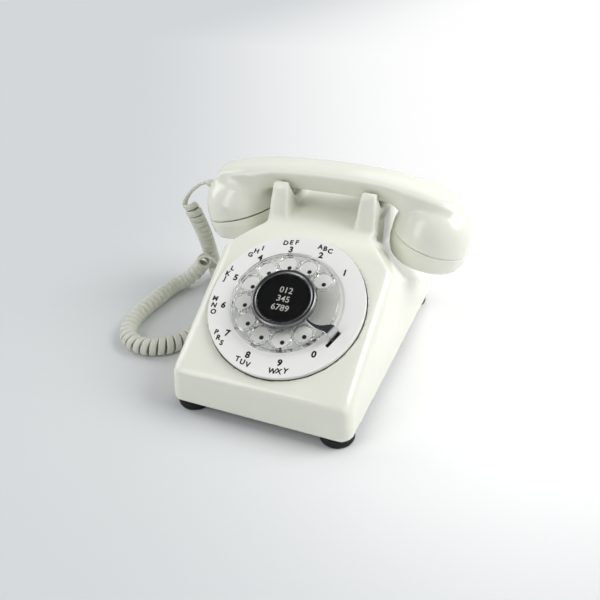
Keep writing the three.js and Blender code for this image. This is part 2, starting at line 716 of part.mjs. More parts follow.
function fingerWheel() {
  const disc = turned([
    [SHAFT_RADIUS + TOUCH, WHEEL_HEIGHT],
    [WHEEL_RADIUS - 0.8, WHEEL_HEIGHT],
    [WHEEL_RADIUS, WHEEL_HEIGHT + 0.9],
    [WHEEL_RADIUS, WHEEL_TOP - 0.8],
    [WHEEL_RADIUS - 0.8, WHEEL_TOP],
    [SHAFT_RADIUS + TOUCH, WHEEL_TOP],
    [SHAFT_RADIUS + TOUCH, WHEEL_HEIGHT],
  ], 36);
  const holes = [];
  for (let i = 0; i < HOLE_COUNT; i += 1) {
    const [x, y] = polar(HOLE_CIRCLE, FIRST_HOLE + i * HOLE_PITCH);
    holes.push(at(x, y, 0, rod(HOLE_RADIUS, -9, 20, 12)));
  }
  return cut(disc, ...holes);
}

function cardRetainer() {
  return turned([
    [CARD_RADIUS - 0.8, RETAINER_Z],
    [RETAINER_RADIUS, RETAINER_Z],
    [RETAINER_RADIUS, RETAINER_Z + 1],
    [RETAINER_RADIUS - 0.8, RETAINER_Z + RETAINER_HEIGHT - 0.5],
    [RETAINER_RADIUS - 1.5, RETAINER_Z + RETAINER_HEIGHT],
    [CARD_RADIUS + 0.4, RETAINER_Z + RETAINER_HEIGHT - 0.6],
    [CARD_RADIUS + TOUCH, RETAINER_Z + 1.2],
    [CARD_RADIUS - 0.8, RETAINER_Z + 1.2],
    [CARD_RADIUS - 0.8, RETAINER_Z],
  ], 28);
}

// A tooth's corners: height from the pitch circle, and place as a share of the tooth spacing.
const TOOTH = [[-1.15, -0.33], [0.8, -0.13], [0.8, 0.13], [-1.15, 0.33]];

function gear(teeth, bore, bottom, top) {
  const pitch = (MODULE * teeth) / 2;
  const outline = [];
  for (let i = 0; i < teeth; i += 1) {
    for (const [height, share] of TOOTH) outline.push(polar(pitch + height, ((i + share) * 360) / teeth));
  }
  return cut(prism(outline, bottom, top), rod(bore, bottom - 1, top + 1, 14));
}

function mainShaft() {
  const shaft = rod(SHAFT_RADIUS, SPRING_CASE_Z + CUP_WALL + TOUCH, WHEEL_TOP, 20);
  const shoulder = rod(SHAFT_RADIUS + 2, FRAME_TOP + 3 + TOUCH, WHEEL_HEIGHT - TOUCH, 20);
  return join(shaft, shoulder);
}

function intermediateShaft() {
  const shaft = rod(INTERMEDIATE_SHAFT, WHEEL_GEAR_Z - 1, FRAME_TOP + 2, 14);
  const pinion = gear(PINION_TEETH, 0.5, MAIN_GEAR_Z - 0.2, MAIN_GEAR_Z + GEAR_FACE + 0.2);
  pinion.rotateZ((INTERMEDIATE_ANGLE + 180 + 180 / PINION_TEETH) * RADIANS);
  const wheel = gear(WHEEL_TEETH, 0.5, WHEEL_GEAR_Z, WHEEL_GEAR_Z + GEAR_FACE);
  wheel.rotateZ(GOVERNOR_ANGLE * RADIANS);
  return at(...INTERMEDIATE_PLACE, 0, join(shaft, pinion, wheel));
}

function governorShaft() {
  const shaft = rod(GOVERNOR_SHAFT, GOVERNOR_Z + 1.5, FRAME_TOP + 2, 12);
  const pinion = gear(GOVERNOR_TEETH, 0.5, WHEEL_GEAR_Z - 0.2, WHEEL_GEAR_Z + GEAR_FACE + 0.2);
  pinion.rotateZ((GOVERNOR_ANGLE + 180 + 180 / GOVERNOR_TEETH) * RADIANS);
  const reach = GOVERNOR_RADIUS - 2.4;
  const weights = box(-reach, reach, -1.6, 1.6, GOVERNOR_Z + 2.6, GOVERNOR_Z + 6);
  return at(...GOVERNOR_PLACE, 0, join(shaft, pinion, weights));
}

// A fixed cup, open at its top, that hangs below the dial frame on one strip.
function hungCup(radius, bottom, top, reach, strap) {
  const cup = cut(rod(radius, bottom, top, 20), rod(radius - CUP_WALL, bottom + CUP_WALL, top + 1, 20));
  const arm = box(radius - CUP_WALL, reach, -2.5, 2.5, bottom, bottom + 1.6);
  const hanger = box(reach - 1.6, reach, -2.5, 2.5, bottom, FRAME_BOTTOM - TOUCH);
  return join(cup, arm.rotateZ(strap * RADIANS), hanger.rotateZ(strap * RADIANS));
}

function pulseContacts() {
  const block = box(-5, 5, -3, 3, FRAME_BOTTOM - 9, FRAME_BOTTOM - TOUCH);
  const leaves = [-6.5, -4.5, -2.5].map((z) => box(4, 16, -2, 2, FRAME_BOTTOM + z, FRAME_BOTTOM + z + 0.5));
  return join(block, ...leaves).translate(...PULSE_PLACE, 0);
}

// The bent steel arm that carries one side of the dial frame from the base plate.
function dialBracket(side) {
  const seat = new THREE.Vector3(0, 0, FRAME_BOTTOM - TOUCH).applyMatrix4(DIAL_MATRIX);
  const slope = new THREE.Vector2(Math.cos(TILT), Math.sin(TILT));
  const along = (distance, below) => [
    seat.y + slope.x * distance + slope.y * below,
    seat.z + slope.y * distance - slope.x * below,
  ];
  const outline = [
    [seat.y - 8, PLATE_TOP],
    [seat.y + 26, PLATE_TOP],
    [seat.y + 26, PLATE_TOP + 1.6],
    [seat.y + 12, PLATE_TOP + 1.6],
    along(9, 1),
    along(9, 0),
    along(-9, 0),
    along(-9, 1),
  ];
  const inner = side * (BRACKET_X - BRACKET_SHEET);
  const outer = side * BRACKET_X;
  return sidePrism(outline, Math.min(inner, outer), Math.max(inner, outer));
}

function addDial() {
  piece(dial, "number_plate", numberPlate(), "print");
  piece(dial, "dial_frame", dialFrame(), "steel");
  piece(dial, "finger_stop", fingerStop(), "chrome");
  piece(dial, "finger_wheel", fingerWheel(), "clear");
  piece(dial, "card_retainer", cardRetainer(), "chrome");
  piece(dial, "number_card", rod(CARD_RADIUS, RETAINER_Z + 1.2 + TOUCH, RETAINER_Z + 2, 28), "black");
  piece(dial, "card_window", rod(CARD_RADIUS, RETAINER_Z + 2 + TOUCH, RETAINER_Z + 3, 28), "clear");
  piece(dial, "main_shaft", mainShaft(), "steel");
  piece(dial, "main_gear", gear(MAIN_TEETH, SHAFT_RADIUS + TOUCH, MAIN_GEAR_Z, MAIN_GEAR_Z + GEAR_FACE)
    .rotateZ(INTERMEDIATE_ANGLE * RADIANS), "brass");
  piece(dial, "intermediate_gear", intermediateShaft(), "brass");
  piece(dial, "governor", governorShaft(), "brass");
  piece(dial, "governor_cup", at(...GOVERNOR_PLACE, 0,
    hungCup(GOVERNOR_RADIUS, GOVERNOR_Z, WHEEL_GEAR_Z - 1, GOVERNOR_RADIUS + 1.6, 150)), "steel");
  const springReach = (MODULE * MAIN_TEETH) / 2 + 5;
  const springCase = hungCup(SPRING_CASE_RADIUS, SPRING_CASE_Z, WHEEL_GEAR_Z - 1, springReach, -55);
  piece(dial, "motor_spring_case", springCase, "brass");
  piece(dial, "pulse_contacts", pulseContacts(), "copper");
  piece(telephone, "dial_bracket_left", dialBracket(-1), "steel");
  piece(telephone, "dial_bracket_right", dialBracket(1), "steel");
}

// ---------------------------------------------------------------- hookswitch
function plunger(side) {
  const body = turned([
    [0, LEVER_TOP + TOUCH],
    [PLUNGER_FLANGE, LEVER_TOP + TOUCH],
    [PLUNGER_FLANGE, FLANGE_TOP],
    [PLUNGER_RADIUS, FLANGE_TOP],
    [PLUNGER_RADIUS, PLUNGER_TOP - 1.2],
    [PLUNGER_RADIUS - 1.2, PLUNGER_TOP],
    [0, PLUNGER_TOP],
  ], 18);
  return at(side * YOKE_X, CRADLE_Y, 0, body);
}

// The bail that both plungers press: a bar across the telephone on two arms.
function hookLever() {
  const bar = box(-YOKE_X - 5, YOKE_X + 5, CRADLE_Y - 5, CRADLE_Y + 5, LEVER_TOP - LEVER_SHEET, LEVER_TOP);
  const arms = [-1, 1].map((side) => sidePrism([
    [LEVER_PIVOT_Y - 3.6, LEVER_PIVOT_Z - 3],
    [LEVER_PIVOT_Y + 3.6, LEVER_PIVOT_Z - 3],
    [CRADLE_Y - 4, LEVER_TOP - LEVER_SHEET - 2],
    [CRADLE_Y + 4, LEVER_TOP - LEVER_SHEET / 2],
    [CRADLE_Y - 4, LEVER_TOP],
    [LEVER_PIVOT_Y - 2, LEVER_PIVOT_Z + 4],
  ], side * LEVER_ARM_X - LEVER_SHEET / 2, side * LEVER_ARM_X + LEVER_SHEET / 2));
  const pivotHole = rod(PIN_RADIUS + 0.2, -LEVER_ARM_X - 5, LEVER_ARM_X + 5, 14).rotateY(Math.PI / 2);
  return cut(join(bar, ...arms), pivotHole.translate(0, LEVER_PIVOT_Y, LEVER_PIVOT_Z));
}

function hookPin() {
  const reach = HOOK_ARM_X + LEVER_SHEET / 2 - TOUCH;
  const pin = rod(PIN_RADIUS, -reach, reach, 14).rotateY(Math.PI / 2);
  return pin.translate(0, LEVER_PIVOT_Y, LEVER_PIVOT_Z);
}

// The steel stand of the hookswitch: two uprights on a foot, with the pivot holes at the top.
function hookBracket() {
  const footTop = PLATE_TOP + LEVER_SHEET;
  const foot = box(-HOOK_ARM_X, HOOK_ARM_X, HOOK_FOOT_Y, HOOK_FOOT_Y + 12, PLATE_TOP, footTop);
  const uprights = [-1, 1].map((side) => sidePrism([
    [HOOK_FOOT_Y, PLATE_TOP],
    [HOOK_FOOT_Y + 12, PLATE_TOP],
    [LEVER_PIVOT_Y + 5, LEVER_PIVOT_Z],
    [LEVER_PIVOT_Y + 2.5, LEVER_PIVOT_Z + 4.5],
    [LEVER_PIVOT_Y - 2.5, LEVER_PIVOT_Z + 4.5],
    [LEVER_PIVOT_Y - 5, LEVER_PIVOT_Z],
  ], side * HOOK_ARM_X - LEVER_SHEET / 2, side * HOOK_ARM_X + LEVER_SHEET / 2));
  const tie = box(-HOOK_ARM_X, HOOK_ARM_X, LEVER_PIVOT_Y - 4, LEVER_PIVOT_Y + 2, TIE_Z, TIE_Z + LEVER_SHEET);
  const hole = rod(PIN_RADIUS + 0.2, -HOOK_ARM_X - 5, HOOK_ARM_X + 5, 14).rotateY(Math.PI / 2);
  return cut(join(foot, ...uprights, tie), hole.translate(0, LEVER_PIVOT_Y, LEVER_PIVOT_Z));
}

// The pile of contact leaves that the lever works, on the tie of its bracket.
function hookContacts() {
  const bottom = TIE_Z + LEVER_SHEET;
  const block = box(-6, 6, LEVER_PIVOT_Y - 4, LEVER_PIVOT_Y + 2, bottom, bottom + 12);
  const leafEnd = LEVER_PIVOT_Y + LEAF_REACH;
  const leaves = [3, 6, 9].map((z) => box(-2.5, 2.5, LEVER_PIVOT_Y, leafEnd, bottom + z, bottom + z + 0.6));
  return join(block, ...leaves);
}

function addHookswitch() {
  piece(telephone, "plunger_left", plunger(-1), "clear");
  piece(telephone, "plunger_right", plunger(1), "clear");
  piece(telephone, "hook_lever", hookLever(), "steel");
  piece(telephone, "hook_pin", hookPin(), "steel");
  piece(telephone, "hookswitch_bracket", hookBracket(), "steel");
  piece(telephone, "hookswitch_contacts", hookContacts(), "copper");
}

// ---------------------------------------------------------------- ringer and network
function gong() {
  const top = GONG_RIM_Z + GONG_HEIGHT;
  const w = GONG_WALL;
  return turned([
    [GONG_RADIUS - w, GONG_RIM_Z],
    [GONG_RADIUS, GONG_RIM_Z],
    [GONG_RADIUS - 0.6, GONG_RIM_Z + GONG_HEIGHT * 0.45],
    [GONG_RADIUS * 0.82, GONG_RIM_Z + GONG_HEIGHT * 0.85],
    [GONG_RADIUS * 0.5, top],
    [GONG_POST_RADIUS - 1, top],
    [GONG_POST_RADIUS - 1, top - w],
    [GONG_RADIUS * 0.5 - 0.4, top - w],
    [GONG_RADIUS * 0.82 - w, GONG_RIM_Z + GONG_HEIGHT * 0.85 - w * 0.6],
    [GONG_RADIUS - 0.6 - w, GONG_RIM_Z + GONG_HEIGHT * 0.45],
    [GONG_RADIUS - w, GONG_RIM_Z],
  ], 24);
}

function gongPost() {
  const top = GONG_RIM_Z + GONG_HEIGHT - GONG_WALL;
  const flange = rod(GONG_POST_RADIUS + 3, PLATE_TOP, PLATE_TOP + 2, 18);
  return join(flange, rod(GONG_POST_RADIUS, PLATE_TOP, top, 18));
}

function gongScrew() {
  const top = GONG_RIM_Z + GONG_HEIGHT;
  return rod(GONG_POST_RADIUS, top, top + 2, 12);
}

function ringerFrame() {
  const reach = COIL_LENGTH / 2;
  const foot = box(-reach - 2, reach + 2, COIL_Y - 8, COIL_Y + 8, PLATE_TOP, PLATE_TOP + 1.6);
  const cheeks = [-1, 1].map((side) => {
    const x = side * (reach + 1);
    return box(x - 1, x + 1, COIL_Y - 8, COIL_Y + 8, PLATE_TOP, COIL_Z + COIL_RADIUS);
  });
  const arm = box(-3, 3, COIL_Y + 6, CLAPPER_PIVOT_Y + 3, PLATE_TOP, PLATE_TOP + 1.6);
  const post = at(0, CLAPPER_PIVOT_Y, 0, rod(PIN_RADIUS, PLATE_TOP, CLAPPER_Z + 4, 14));
  const core = rod(COIL_CORE + TOUCH, -reach - 5, reach + 5, 16).rotateY(Math.PI / 2);
  return cut(join(foot, ...cheeks, arm, post), core.translate(0, COIL_Y, COIL_Z));
}

function ringerCore() {
  const reach = COIL_LENGTH / 2 + 2.5;
  return rod(COIL_CORE, -reach, reach, 16).rotateY(Math.PI / 2).translate(0, COIL_Y, COIL_Z);
}

function ringerCoil() {
  const reach = COIL_LENGTH / 2 - TOUCH;
  const coil = ring(COIL_CORE + TOUCH, COIL_RADIUS, -reach, reach, 24);
  return coil.rotateY(Math.PI / 2).translate(0, COIL_Y, COIL_Z);
}

// The clapper: a hub on its post, a rod to the back and the ball between the gongs.
function clapper() {
  const hub = ring(PIN_RADIUS + TOUCH, PIN_RADIUS + 2.6, CLAPPER_Z - 2.5, CLAPPER_Z + 2.5, 16);
  const wire = box(-0.9, 0.9, PIN_RADIUS + 2, GONG_Y - CLAPPER_PIVOT_Y, CLAPPER_Z - 0.9, CLAPPER_Z + 0.9);
  const ball = new THREE.SphereGeometry(CLAPPER_BALL, 10, 6);
  const whole = join(hub, wire, ball.translate(0, GONG_Y - CLAPPER_PIVOT_Y, CLAPPER_Z));
  return whole.translate(0, CLAPPER_PIVOT_Y, 0);
}

function volumeWheel() {
  const teeth = 24;
  const outline = [];
  for (let i = 0; i < teeth; i += 1) {
    outline.push(polar(VOLUME_RADIUS, (i * 360) / teeth));
    outline.push(polar(VOLUME_RADIUS - 1, ((i + 0.5) * 360) / teeth));
  }
  const top = PLATE_Z - TOUCH;
  const disc = prism(outline, top - VOLUME_THICKNESS, top);
  const stem = rod(SHAFT_RADIUS, top - 1, PLATE_TOP + 5, 14);
  const cam = box(-SHAFT_RADIUS - 4, SHAFT_RADIUS, -2.5, 2.5, PLATE_TOP + TOUCH, PLATE_TOP + 3);
  return at(VOLUME_X, VOLUME_Y, 0, join(disc, stem, cam));
}

function networkBlock() {
  const body = box(NETWORK[0], NETWORK[1], NETWORK[2], NETWORK[3], PLATE_TOP, NETWORK_TOP);
  const lip = box(NETWORK[0] - 3, NETWORK[1] + 3, NETWORK[2] + 6, NETWORK[3] - 6, PLATE_TOP, PLATE_TOP + 2);
  return join(body, lip);
}

// The screw terminals on the network block, one group of separate posts in rows.
function terminals() {
  const posts = [];
  for (let row = 0; row < 2; row += 1) {
    for (let i = 0; i < 4; i += 1) {
      const x = NETWORK[0] + 7 + (i * (NETWORK[1] - NETWORK[0] - 14)) / 3;
      const y = row === 0 ? NETWORK[2] + 5 : NETWORK[3] - 5;
      posts.push(at(x, y, 0, rod(2.6, NETWORK_TOP, NETWORK_TOP + 2.4, 6)));
    }
  }
  const [left, right] = [NETWORK[0] + 3, NETWORK[1] - 3];
  const [front, rear] = [NETWORK[2] + 3, NETWORK[3] - 3];
  const top = NETWORK_TOP + 0.8;
  const strip = box(left, right, front, front + 4, NETWORK_TOP, top);
  const second = box(left, right, rear - 4, rear, NETWORK_TOP, top);
  const link = box(left, left + 2, front, rear, NETWORK_TOP, top);
  return join(strip, second, link, ...posts);
}

function lineJack() {
  const half = JACK_WIDTH / 2;
  const face = rearWall(JACK_Z + JACK_HEIGHT) - 0.2;
  const body = box(JACK_X - half, JACK_X + half, face - JACK_DEPTH, face, JACK_Z, JACK_Z + JACK_HEIGHT);
  const seat = box(JACK_X - half, JACK_X + half, face - JACK_DEPTH, face - 8, PLATE_TOP, JACK_Z + 1);
  const low = JACK_Z + (JACK_HEIGHT - SOCKET_HEIGHT) / 2;
  const socket = box(
    JACK_X - SOCKET_WIDTH / 2,
    JACK_X + SOCKET_WIDTH / 2,
    face - SOCKET_DEPTH,
    face + 1,
    low,
    low + SOCKET_HEIGHT,
  );
  return cut(join(body, seat), socket);
}

function addWorks() {
  for (const [side, x] of [["left", -GONG_X], ["right", GONG_X]]) {
    piece(telephone, `gong_${side}`, at(x, GONG_Y, 0, gong()), "brass");
    piece(telephone, `gong_post_${side}`, at(x, GONG_Y, 0, gongPost()), "steel");
    piece(telephone, `gong_screw_${side}`, at(x, GONG_Y, 0, gongScrew()), "steel");
  }
  piece(telephone, "ringer_frame", ringerFrame(), "steel");
  piece(telephone, "ringer_core", ringerCore(), "steel");
  piece(telephone, "ringer_coil", ringerCoil(), "copper");
  piece(telephone, "clapper", clapper(), "steel");
  piece(telephone, "volume_wheel", volumeWheel(), "black");
  piece(telephone, "network_block", networkBlock(), "grey");
  piece(telephone, "network_terminals", terminals(), "brass");
  piece(telephone, "line_jack", lineJack(), "clear");
}

// ---------------------------------------------------------------- handset
function handleDrop(x) {
  return HANDLE_DROP * (Math.abs(x) / HANDLE_HALF_LENGTH) ** HANDLE_DROP_POWER;
}

// Cross-section of the handle in Y and Z, grown or shrunk by an offset.
function handleSection(offset) {
  const low = HANDLE_UNDERSIDE - offset;
  const crease = HANDLE_CREASE_Z;
  const bottom = HANDLE_BOTTOM_HALF + offset;
  const top = HANDLE_TOP_HALF + offset;
  const side = [
    [bottom - 3.5, low],
    [bottom - 0.8, low + 1.4],
    [bottom + 0.6, low + 4.4],
    [top - 0.6, crease - 2.2],
    [top - 0.7, crease - 0.6],
    [top - 2.2, crease + 0.4 + offset],
    [top * 0.45, crease + HANDLE_CROWN * 0.82 + offset],
  ];
  const right = side.map(([y, z]) => [CRADLE_Y + y, z]);
  const left = side.map(([y, z]) => [CRADLE_Y - y, z]).reverse();
  return [...right, ...left];
}

function bar(offset, reach) {
  const steps = 12;
  const body = sidePrism(handleSection(offset), -reach, reach, { steps });
  return reshape(body, (p) => {
    const end = Math.max(0, Math.abs(p.x) - HEAD_X + 10) / (HANDLE_HALF_LENGTH - HEAD_X + 10);
    p.y = CRADLE_Y + (p.y - CRADLE_Y) * (1 - 0.3 * end * end);
    p.z -= handleDrop(p.x);
  });
}

function onHead(side, geometry) {
  const placed = geometry.clone().rotateY(side * HEAD_TILT * RADIANS);
  return placed.translate(side * HEAD_X, CRADLE_Y, SEAM_Z);
}

// The part of a head that lies above its tilted seam, or below it.
function aboveSeam(side, geometry) {
  const upper = box(-2 * HEAD_RADIUS, 2 * HEAD_RADIUS, -HEAD_RADIUS, HEAD_RADIUS, 0, 2 * HEAD_HEIGHT);
  return common(geometry, upper.rotateY(side * SEAM_TILT * RADIANS));
}

function belowSeam(side, geometry) {
  const lower = box(-2 * HEAD_RADIUS, 2 * HEAD_RADIUS, -HEAD_RADIUS, HEAD_RADIUS, -2 * CAP_DEPTH, -TOUCH);
  return common(geometry, lower.rotateY(side * SEAM_TILT * RADIANS));
}

// Outline of a head above its seam, as a turned shape.
function dome(inset) {
  const r = HEAD_RADIUS - inset;
  const h = HEAD_HEIGHT - inset;
  return turned([
    [0, -SEAM_REACH - inset],
    [r, -SEAM_REACH - inset],
    [r, h * 0.3],
    [r * 0.96, h * 0.52],
    [r * 0.84, h * 0.74],
    [r * 0.62, h * 0.91],
    [r * 0.33, h * 0.99],
    [0, h],
  ], inset > 0 ? 18 : 28);
}

function handle() {
  const heads = [-1, 1].map((side) => onHead(side, aboveSeam(side, dome(0))));
  const hollows = [-1, 1].map((side) => onHead(side, dome(HEAD_WALL)));
  const channel = cordTube([
    [-HEAD_X + 8, CRADLE_Y, SEAM_Z + 24],
    [-HEAD_X / 2, CRADLE_Y, HANDLE_UNDERSIDE + 4.4],
    [0, CRADLE_Y, HANDLE_UNDERSIDE + 6],
    [HEAD_X / 2, CRADLE_Y, HANDLE_UNDERSIDE + 4.4],
    [HEAD_X - 8, CRADLE_Y, SEAM_Z + 24],
  ], 2 * WIRE_CHANNEL, 2 * WIRE_CHANNEL, 8);
  const cordHole = rod(GROMMET_NECK + TOUCH, -HEAD_X - 40, -HEAD_X - 20, 14).rotateY(Math.PI / 2);
  cordHole.translate(0, CRADLE_Y, HANDSET_EXIT_Z);
  return cut(join(bar(0, HANDLE_HALF_LENGTH), ...heads), ...hollows, channel, cordHole);
}

function cap(side, holes) {
  const body = turned([
    [0, -CAP_DEPTH + 2.4],
    [HEAD_RADIUS * 0.6, -CAP_DEPTH + 1.2],
    [HEAD_RADIUS - 6.5, -CAP_DEPTH],
    [HEAD_RADIUS - 3.4, -CAP_DEPTH + 1],
    [HEAD_RADIUS - 1.4, -CAP_DEPTH + 5],
    [HEAD_RADIUS, -TOUCH - 4],
    [HEAD_RADIUS, SEAM_REACH],
    [HEAD_RADIUS - CAP_WALL, SEAM_REACH],
    [HEAD_RADIUS - CAP_WALL - 0.6, -CAP_DEPTH + 7],
    [HEAD_RADIUS - 6.5, -CAP_DEPTH + CAP_WALL + 1],
    [0, -CAP_DEPTH + CAP_WALL + 2.2],
  ], 28);
  const tools = holes.map(([x, y]) => at(x, y, 0, rod(SOUND_HOLE, -CAP_DEPTH - 2, -CAP_DEPTH + 8, 6)));
  return belowSeam(side, cut(body, ...tools));
}

// Sound holes in rings round the middle one.
function holeRings(counts, step) {
  return counts.flatMap((count, i) => {
    const places = [];
    for (let k = 0; k < count; k += 1) places.push(polar(step * i, (360 * k) / count));
    return places;
  });
}

function receiverCapsule() {
  const bottom = -CAP_DEPTH + CAP_WALL + 2.2 + TOUCH;
  return turned([
    [0, bottom],
    [CAPSULE_RADIUS, bottom],
    [CAPSULE_RADIUS, bottom + 7],
    [CAPSULE_RADIUS - 4, bottom + 8],
    [CAPSULE_RADIUS - 6, bottom + 14],
    [0, bottom + 14],
  ], 20);
}

function transmitterCapsule() {
  const bottom = -CAP_DEPTH + CAP_WALL + 2.2 + TOUCH;
  return turned([
    [0, bottom],
    [CAPSULE_RADIUS, bottom],
    [CAPSULE_RADIUS, bottom + 6],
    [CAPSULE_RADIUS - 7, bottom + 9],
    [0, bottom + 9],
  ], 20);
}

function contactCup() {
  const bottom = -CAP_DEPTH + CAP_WALL + 2.2 + 9 + 2 * TOUCH;
  return turned([
    [4, bottom],
    [CAPSULE_RADIUS - 7, bottom],
    [CAPSULE_RADIUS + 1, bottom + 5],
    [CAPSULE_RADIUS + 1, bottom + 9],
    [CAPSULE_RADIUS - 0.6, bottom + 9],
    [CAPSULE_RADIUS - 0.6, bottom + 6],
    [CAPSULE_RADIUS - 8, bottom + 1.6],
    [4, bottom + 1.6],
    [4, bottom],
  ], 20);
}

// The rubber sleeve where the cord enters the handset.
function handsetGrommet() {
  const outside = HEAD_X + HEAD_RADIUS + GROMMET_REACH;
  const inside = HEAD_X + HEAD_RADIUS - 9;
  const end = STRAND_WIDTH / 2 + TOUCH;
  const body = turned([
    [0, inside],
    [GROMMET_NECK, inside],
    [GROMMET_NECK, outside - 1],
    [end, outside],
    [0, outside],
  ], 14);
  return body.rotateY(-Math.PI / 2).translate(0, CRADLE_Y, HANDSET_EXIT_Z);
}

function housingGrommet() {
  const wall = halfWidth(GROMMET_Y, GROMMET_Z);
  const body = turned([
    [0, wall - WALL - 3],
    [GROMMET_RADIUS, wall - WALL - 3],
    [GROMMET_RADIUS, wall + 1],
    [GROMMET_RADIUS - 1.4, wall + 4],
    [STRAND_WIDTH / 2 + 0.2, wall + 6],
    [0, wall + 6],
  ], 16);
  return body.rotateY(-Math.PI / 2).translate(0, GROMMET_Y, GROMMET_Z);
}

const handset = new THREE.Group();
handset.position.x = HANDSET_X;
telephone.add(handset);

function addHandset() {
  const listening = cap(1, holeRings([1, 6], 5.4));
  const speaking = cap(-1, holeRings([1, 9], 8));
  piece(handset, "handle", handle(), "ivory");
  piece(handset, "receiver_cap", onHead(1, listening), "ivory");
  piece(handset, "transmitter_cap", onHead(-1, speaking), "ivory");
  piece(handset, "receiver_capsule", onHead(1, receiverCapsule()), "black");
  piece(handset, "transmitter_capsule", onHead(-1, transmitterCapsule()), "steel");
  piece(handset, "contact_cup", onHead(-1, contactCup()), "black");
}

function addCord() {
  piece(handset, "handset_grommet", handsetGrommet(), "cordIvory");
  piece(telephone, "housing_grommet", housingGrommet(), "cordIvory");
  const strand = [STRAND_WIDTH, STRAND_THICKNESS];
  const coil = [2 * COIL_CORD_RADIUS, 2 * COIL_CORD_RADIUS];
  const cord = (name, points, section, steps) => {
    piece(telephone, name, cordTube(points, ...section, steps), "cordIvory");
  };
  cord("cord_lead_handset", CORD_LEAD_HANDSET, strand, 9);
  cord("cord_coil_upper", CORD_COIL_UPPER, coil, 18);
  cord("cord_link", CORD_LINK, strand, 9);
  cord("cord_coil_lower", CORD_COIL_LOWER, coil, 26);
  cord("cord_lead_housing", CORD_LEAD_HOUSING, strand, 7);
}

addHousing();
addDial();
addHookswitch();
addWorks();
addHandset();
addCord();

export default telephone;
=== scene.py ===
"""Rotary desk telephone: the looks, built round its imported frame.

Everything is in metres, with Z up. Angles are in degrees unless a comment says otherwise.
"""

import json
import math

import bmesh
import bpy
from mathutils import Matrix, Vector
from mathutils.kdtree import KDTree


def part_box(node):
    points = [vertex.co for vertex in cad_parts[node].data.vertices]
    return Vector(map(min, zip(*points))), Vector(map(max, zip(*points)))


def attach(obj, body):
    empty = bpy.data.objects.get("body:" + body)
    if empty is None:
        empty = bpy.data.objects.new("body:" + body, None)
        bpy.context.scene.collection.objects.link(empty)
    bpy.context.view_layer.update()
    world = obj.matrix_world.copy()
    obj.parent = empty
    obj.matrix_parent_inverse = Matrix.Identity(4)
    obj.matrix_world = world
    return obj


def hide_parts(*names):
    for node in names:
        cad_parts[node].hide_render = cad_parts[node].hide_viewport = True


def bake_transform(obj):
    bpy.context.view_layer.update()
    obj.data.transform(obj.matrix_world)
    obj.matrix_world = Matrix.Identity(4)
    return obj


bl_info = {
    "name": "Rotary desk telephone",
    "version": (1, 0, 0),
    "blender": (4, 5, 0),
    "location": "3D View > Sidebar > Telephone",
    "description": "Builds the pieces and finishes of a rotary telephone round its packed frame",
    "category": "Object",
}

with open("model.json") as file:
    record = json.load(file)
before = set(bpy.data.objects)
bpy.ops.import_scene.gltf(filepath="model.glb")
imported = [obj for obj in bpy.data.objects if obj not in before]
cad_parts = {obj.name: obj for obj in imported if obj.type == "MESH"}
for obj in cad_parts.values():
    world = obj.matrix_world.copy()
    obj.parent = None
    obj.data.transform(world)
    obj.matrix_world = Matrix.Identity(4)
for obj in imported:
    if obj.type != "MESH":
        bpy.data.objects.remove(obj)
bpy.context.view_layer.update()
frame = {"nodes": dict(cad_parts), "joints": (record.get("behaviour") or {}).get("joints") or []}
MM = 0.001
FULL_TURN = 2 * math.pi
LEFT, RIGHT = -1, 1
# A skew direction along which no two faces of a turned shape lie level.
SORTING_LINE = Vector((1.0, 1.618, 2.718))

# ---- dial, measured from its hinge
DIAL_HINGE = next(joint for joint in frame["joints"] if joint["name"] == "dial_turn")
DIAL_TILT = Vector((0, 0, 1)).rotation_difference(Vector(DIAL_HINGE["axis"]))
DIAL_MATRIX = Matrix.Translation(Vector(DIAL_HINGE["pos_m"])) @ DIAL_TILT.to_matrix().to_4x4()
PLATE_RADIUS = 56.5 * MM
PLATE_BORE = 7 * MM
PLATE_THICKNESS = 1.6 * MM
PLATE_LIP = 1.4 * MM
PLATE_LIP_DEPTH = 3.8 * MM
RING_INNER = 41.8 * MM
RING_INNER_HEIGHT = 1.0 * MM
RING_OUTER_HEIGHT = 1.6 * MM
DISH_RADIUS = 40.2 * MM
DIAL_OPENING = 57.2 * MM
HOLE_COUNT = 10
HOLE_CIRCLE = 29.9 * MM
HOLE_RADIUS = 6.7 * MM
FIRST_HOLE = 43.8
HOLE_PITCH = 30
WHEEL_RADIUS = 39.6 * MM
WHEEL_UNDERSIDE = 3 * MM
WHEEL_TOP = 6 * MM
WEB_INNER = 3.3 * MM
WEB_OUTER = 38.6 * MM
RIM_INNER = 37.8 * MM
RETAINER_RADIUS = 23.4 * MM
CARD_RADIUS = 19.1 * MM
CARD_LIFT = 0.3 * MM
STOP_ANGLE = -25.5
STOP_SHEET = 1.2 * MM
STOP_SLOT = (43.5 * MM, 46.3 * MM)
STOP_SLOT_WIDTH = 13.5 * MM
# The stop from its tip to its foot, in mm: radius, how far to the side, height and half width.
STOP_COURSE = (
    (24.8, -2.6, 9.9, 1.3), (30.2, -2.9, 9.4, 1.3), (35.2, -1.5, 9.0, 2.0),
    (39.2, 1.0, 8.9, 3.3), (41.6, 2.1, 8.8, 4.0), (42.9, 2.3, 8.0, 4.2),
    (43.9, 2.3, 6.2, 4.2), (44.2, 2.3, 3.0, 4.2), (44.2, 2.3, -3.0, 4.2),
)
DOT_RADIUS = 1.6 * MM
DIGIT_RADIUS = 45.3 * MM
ONE_RADIUS = 46.9 * MM
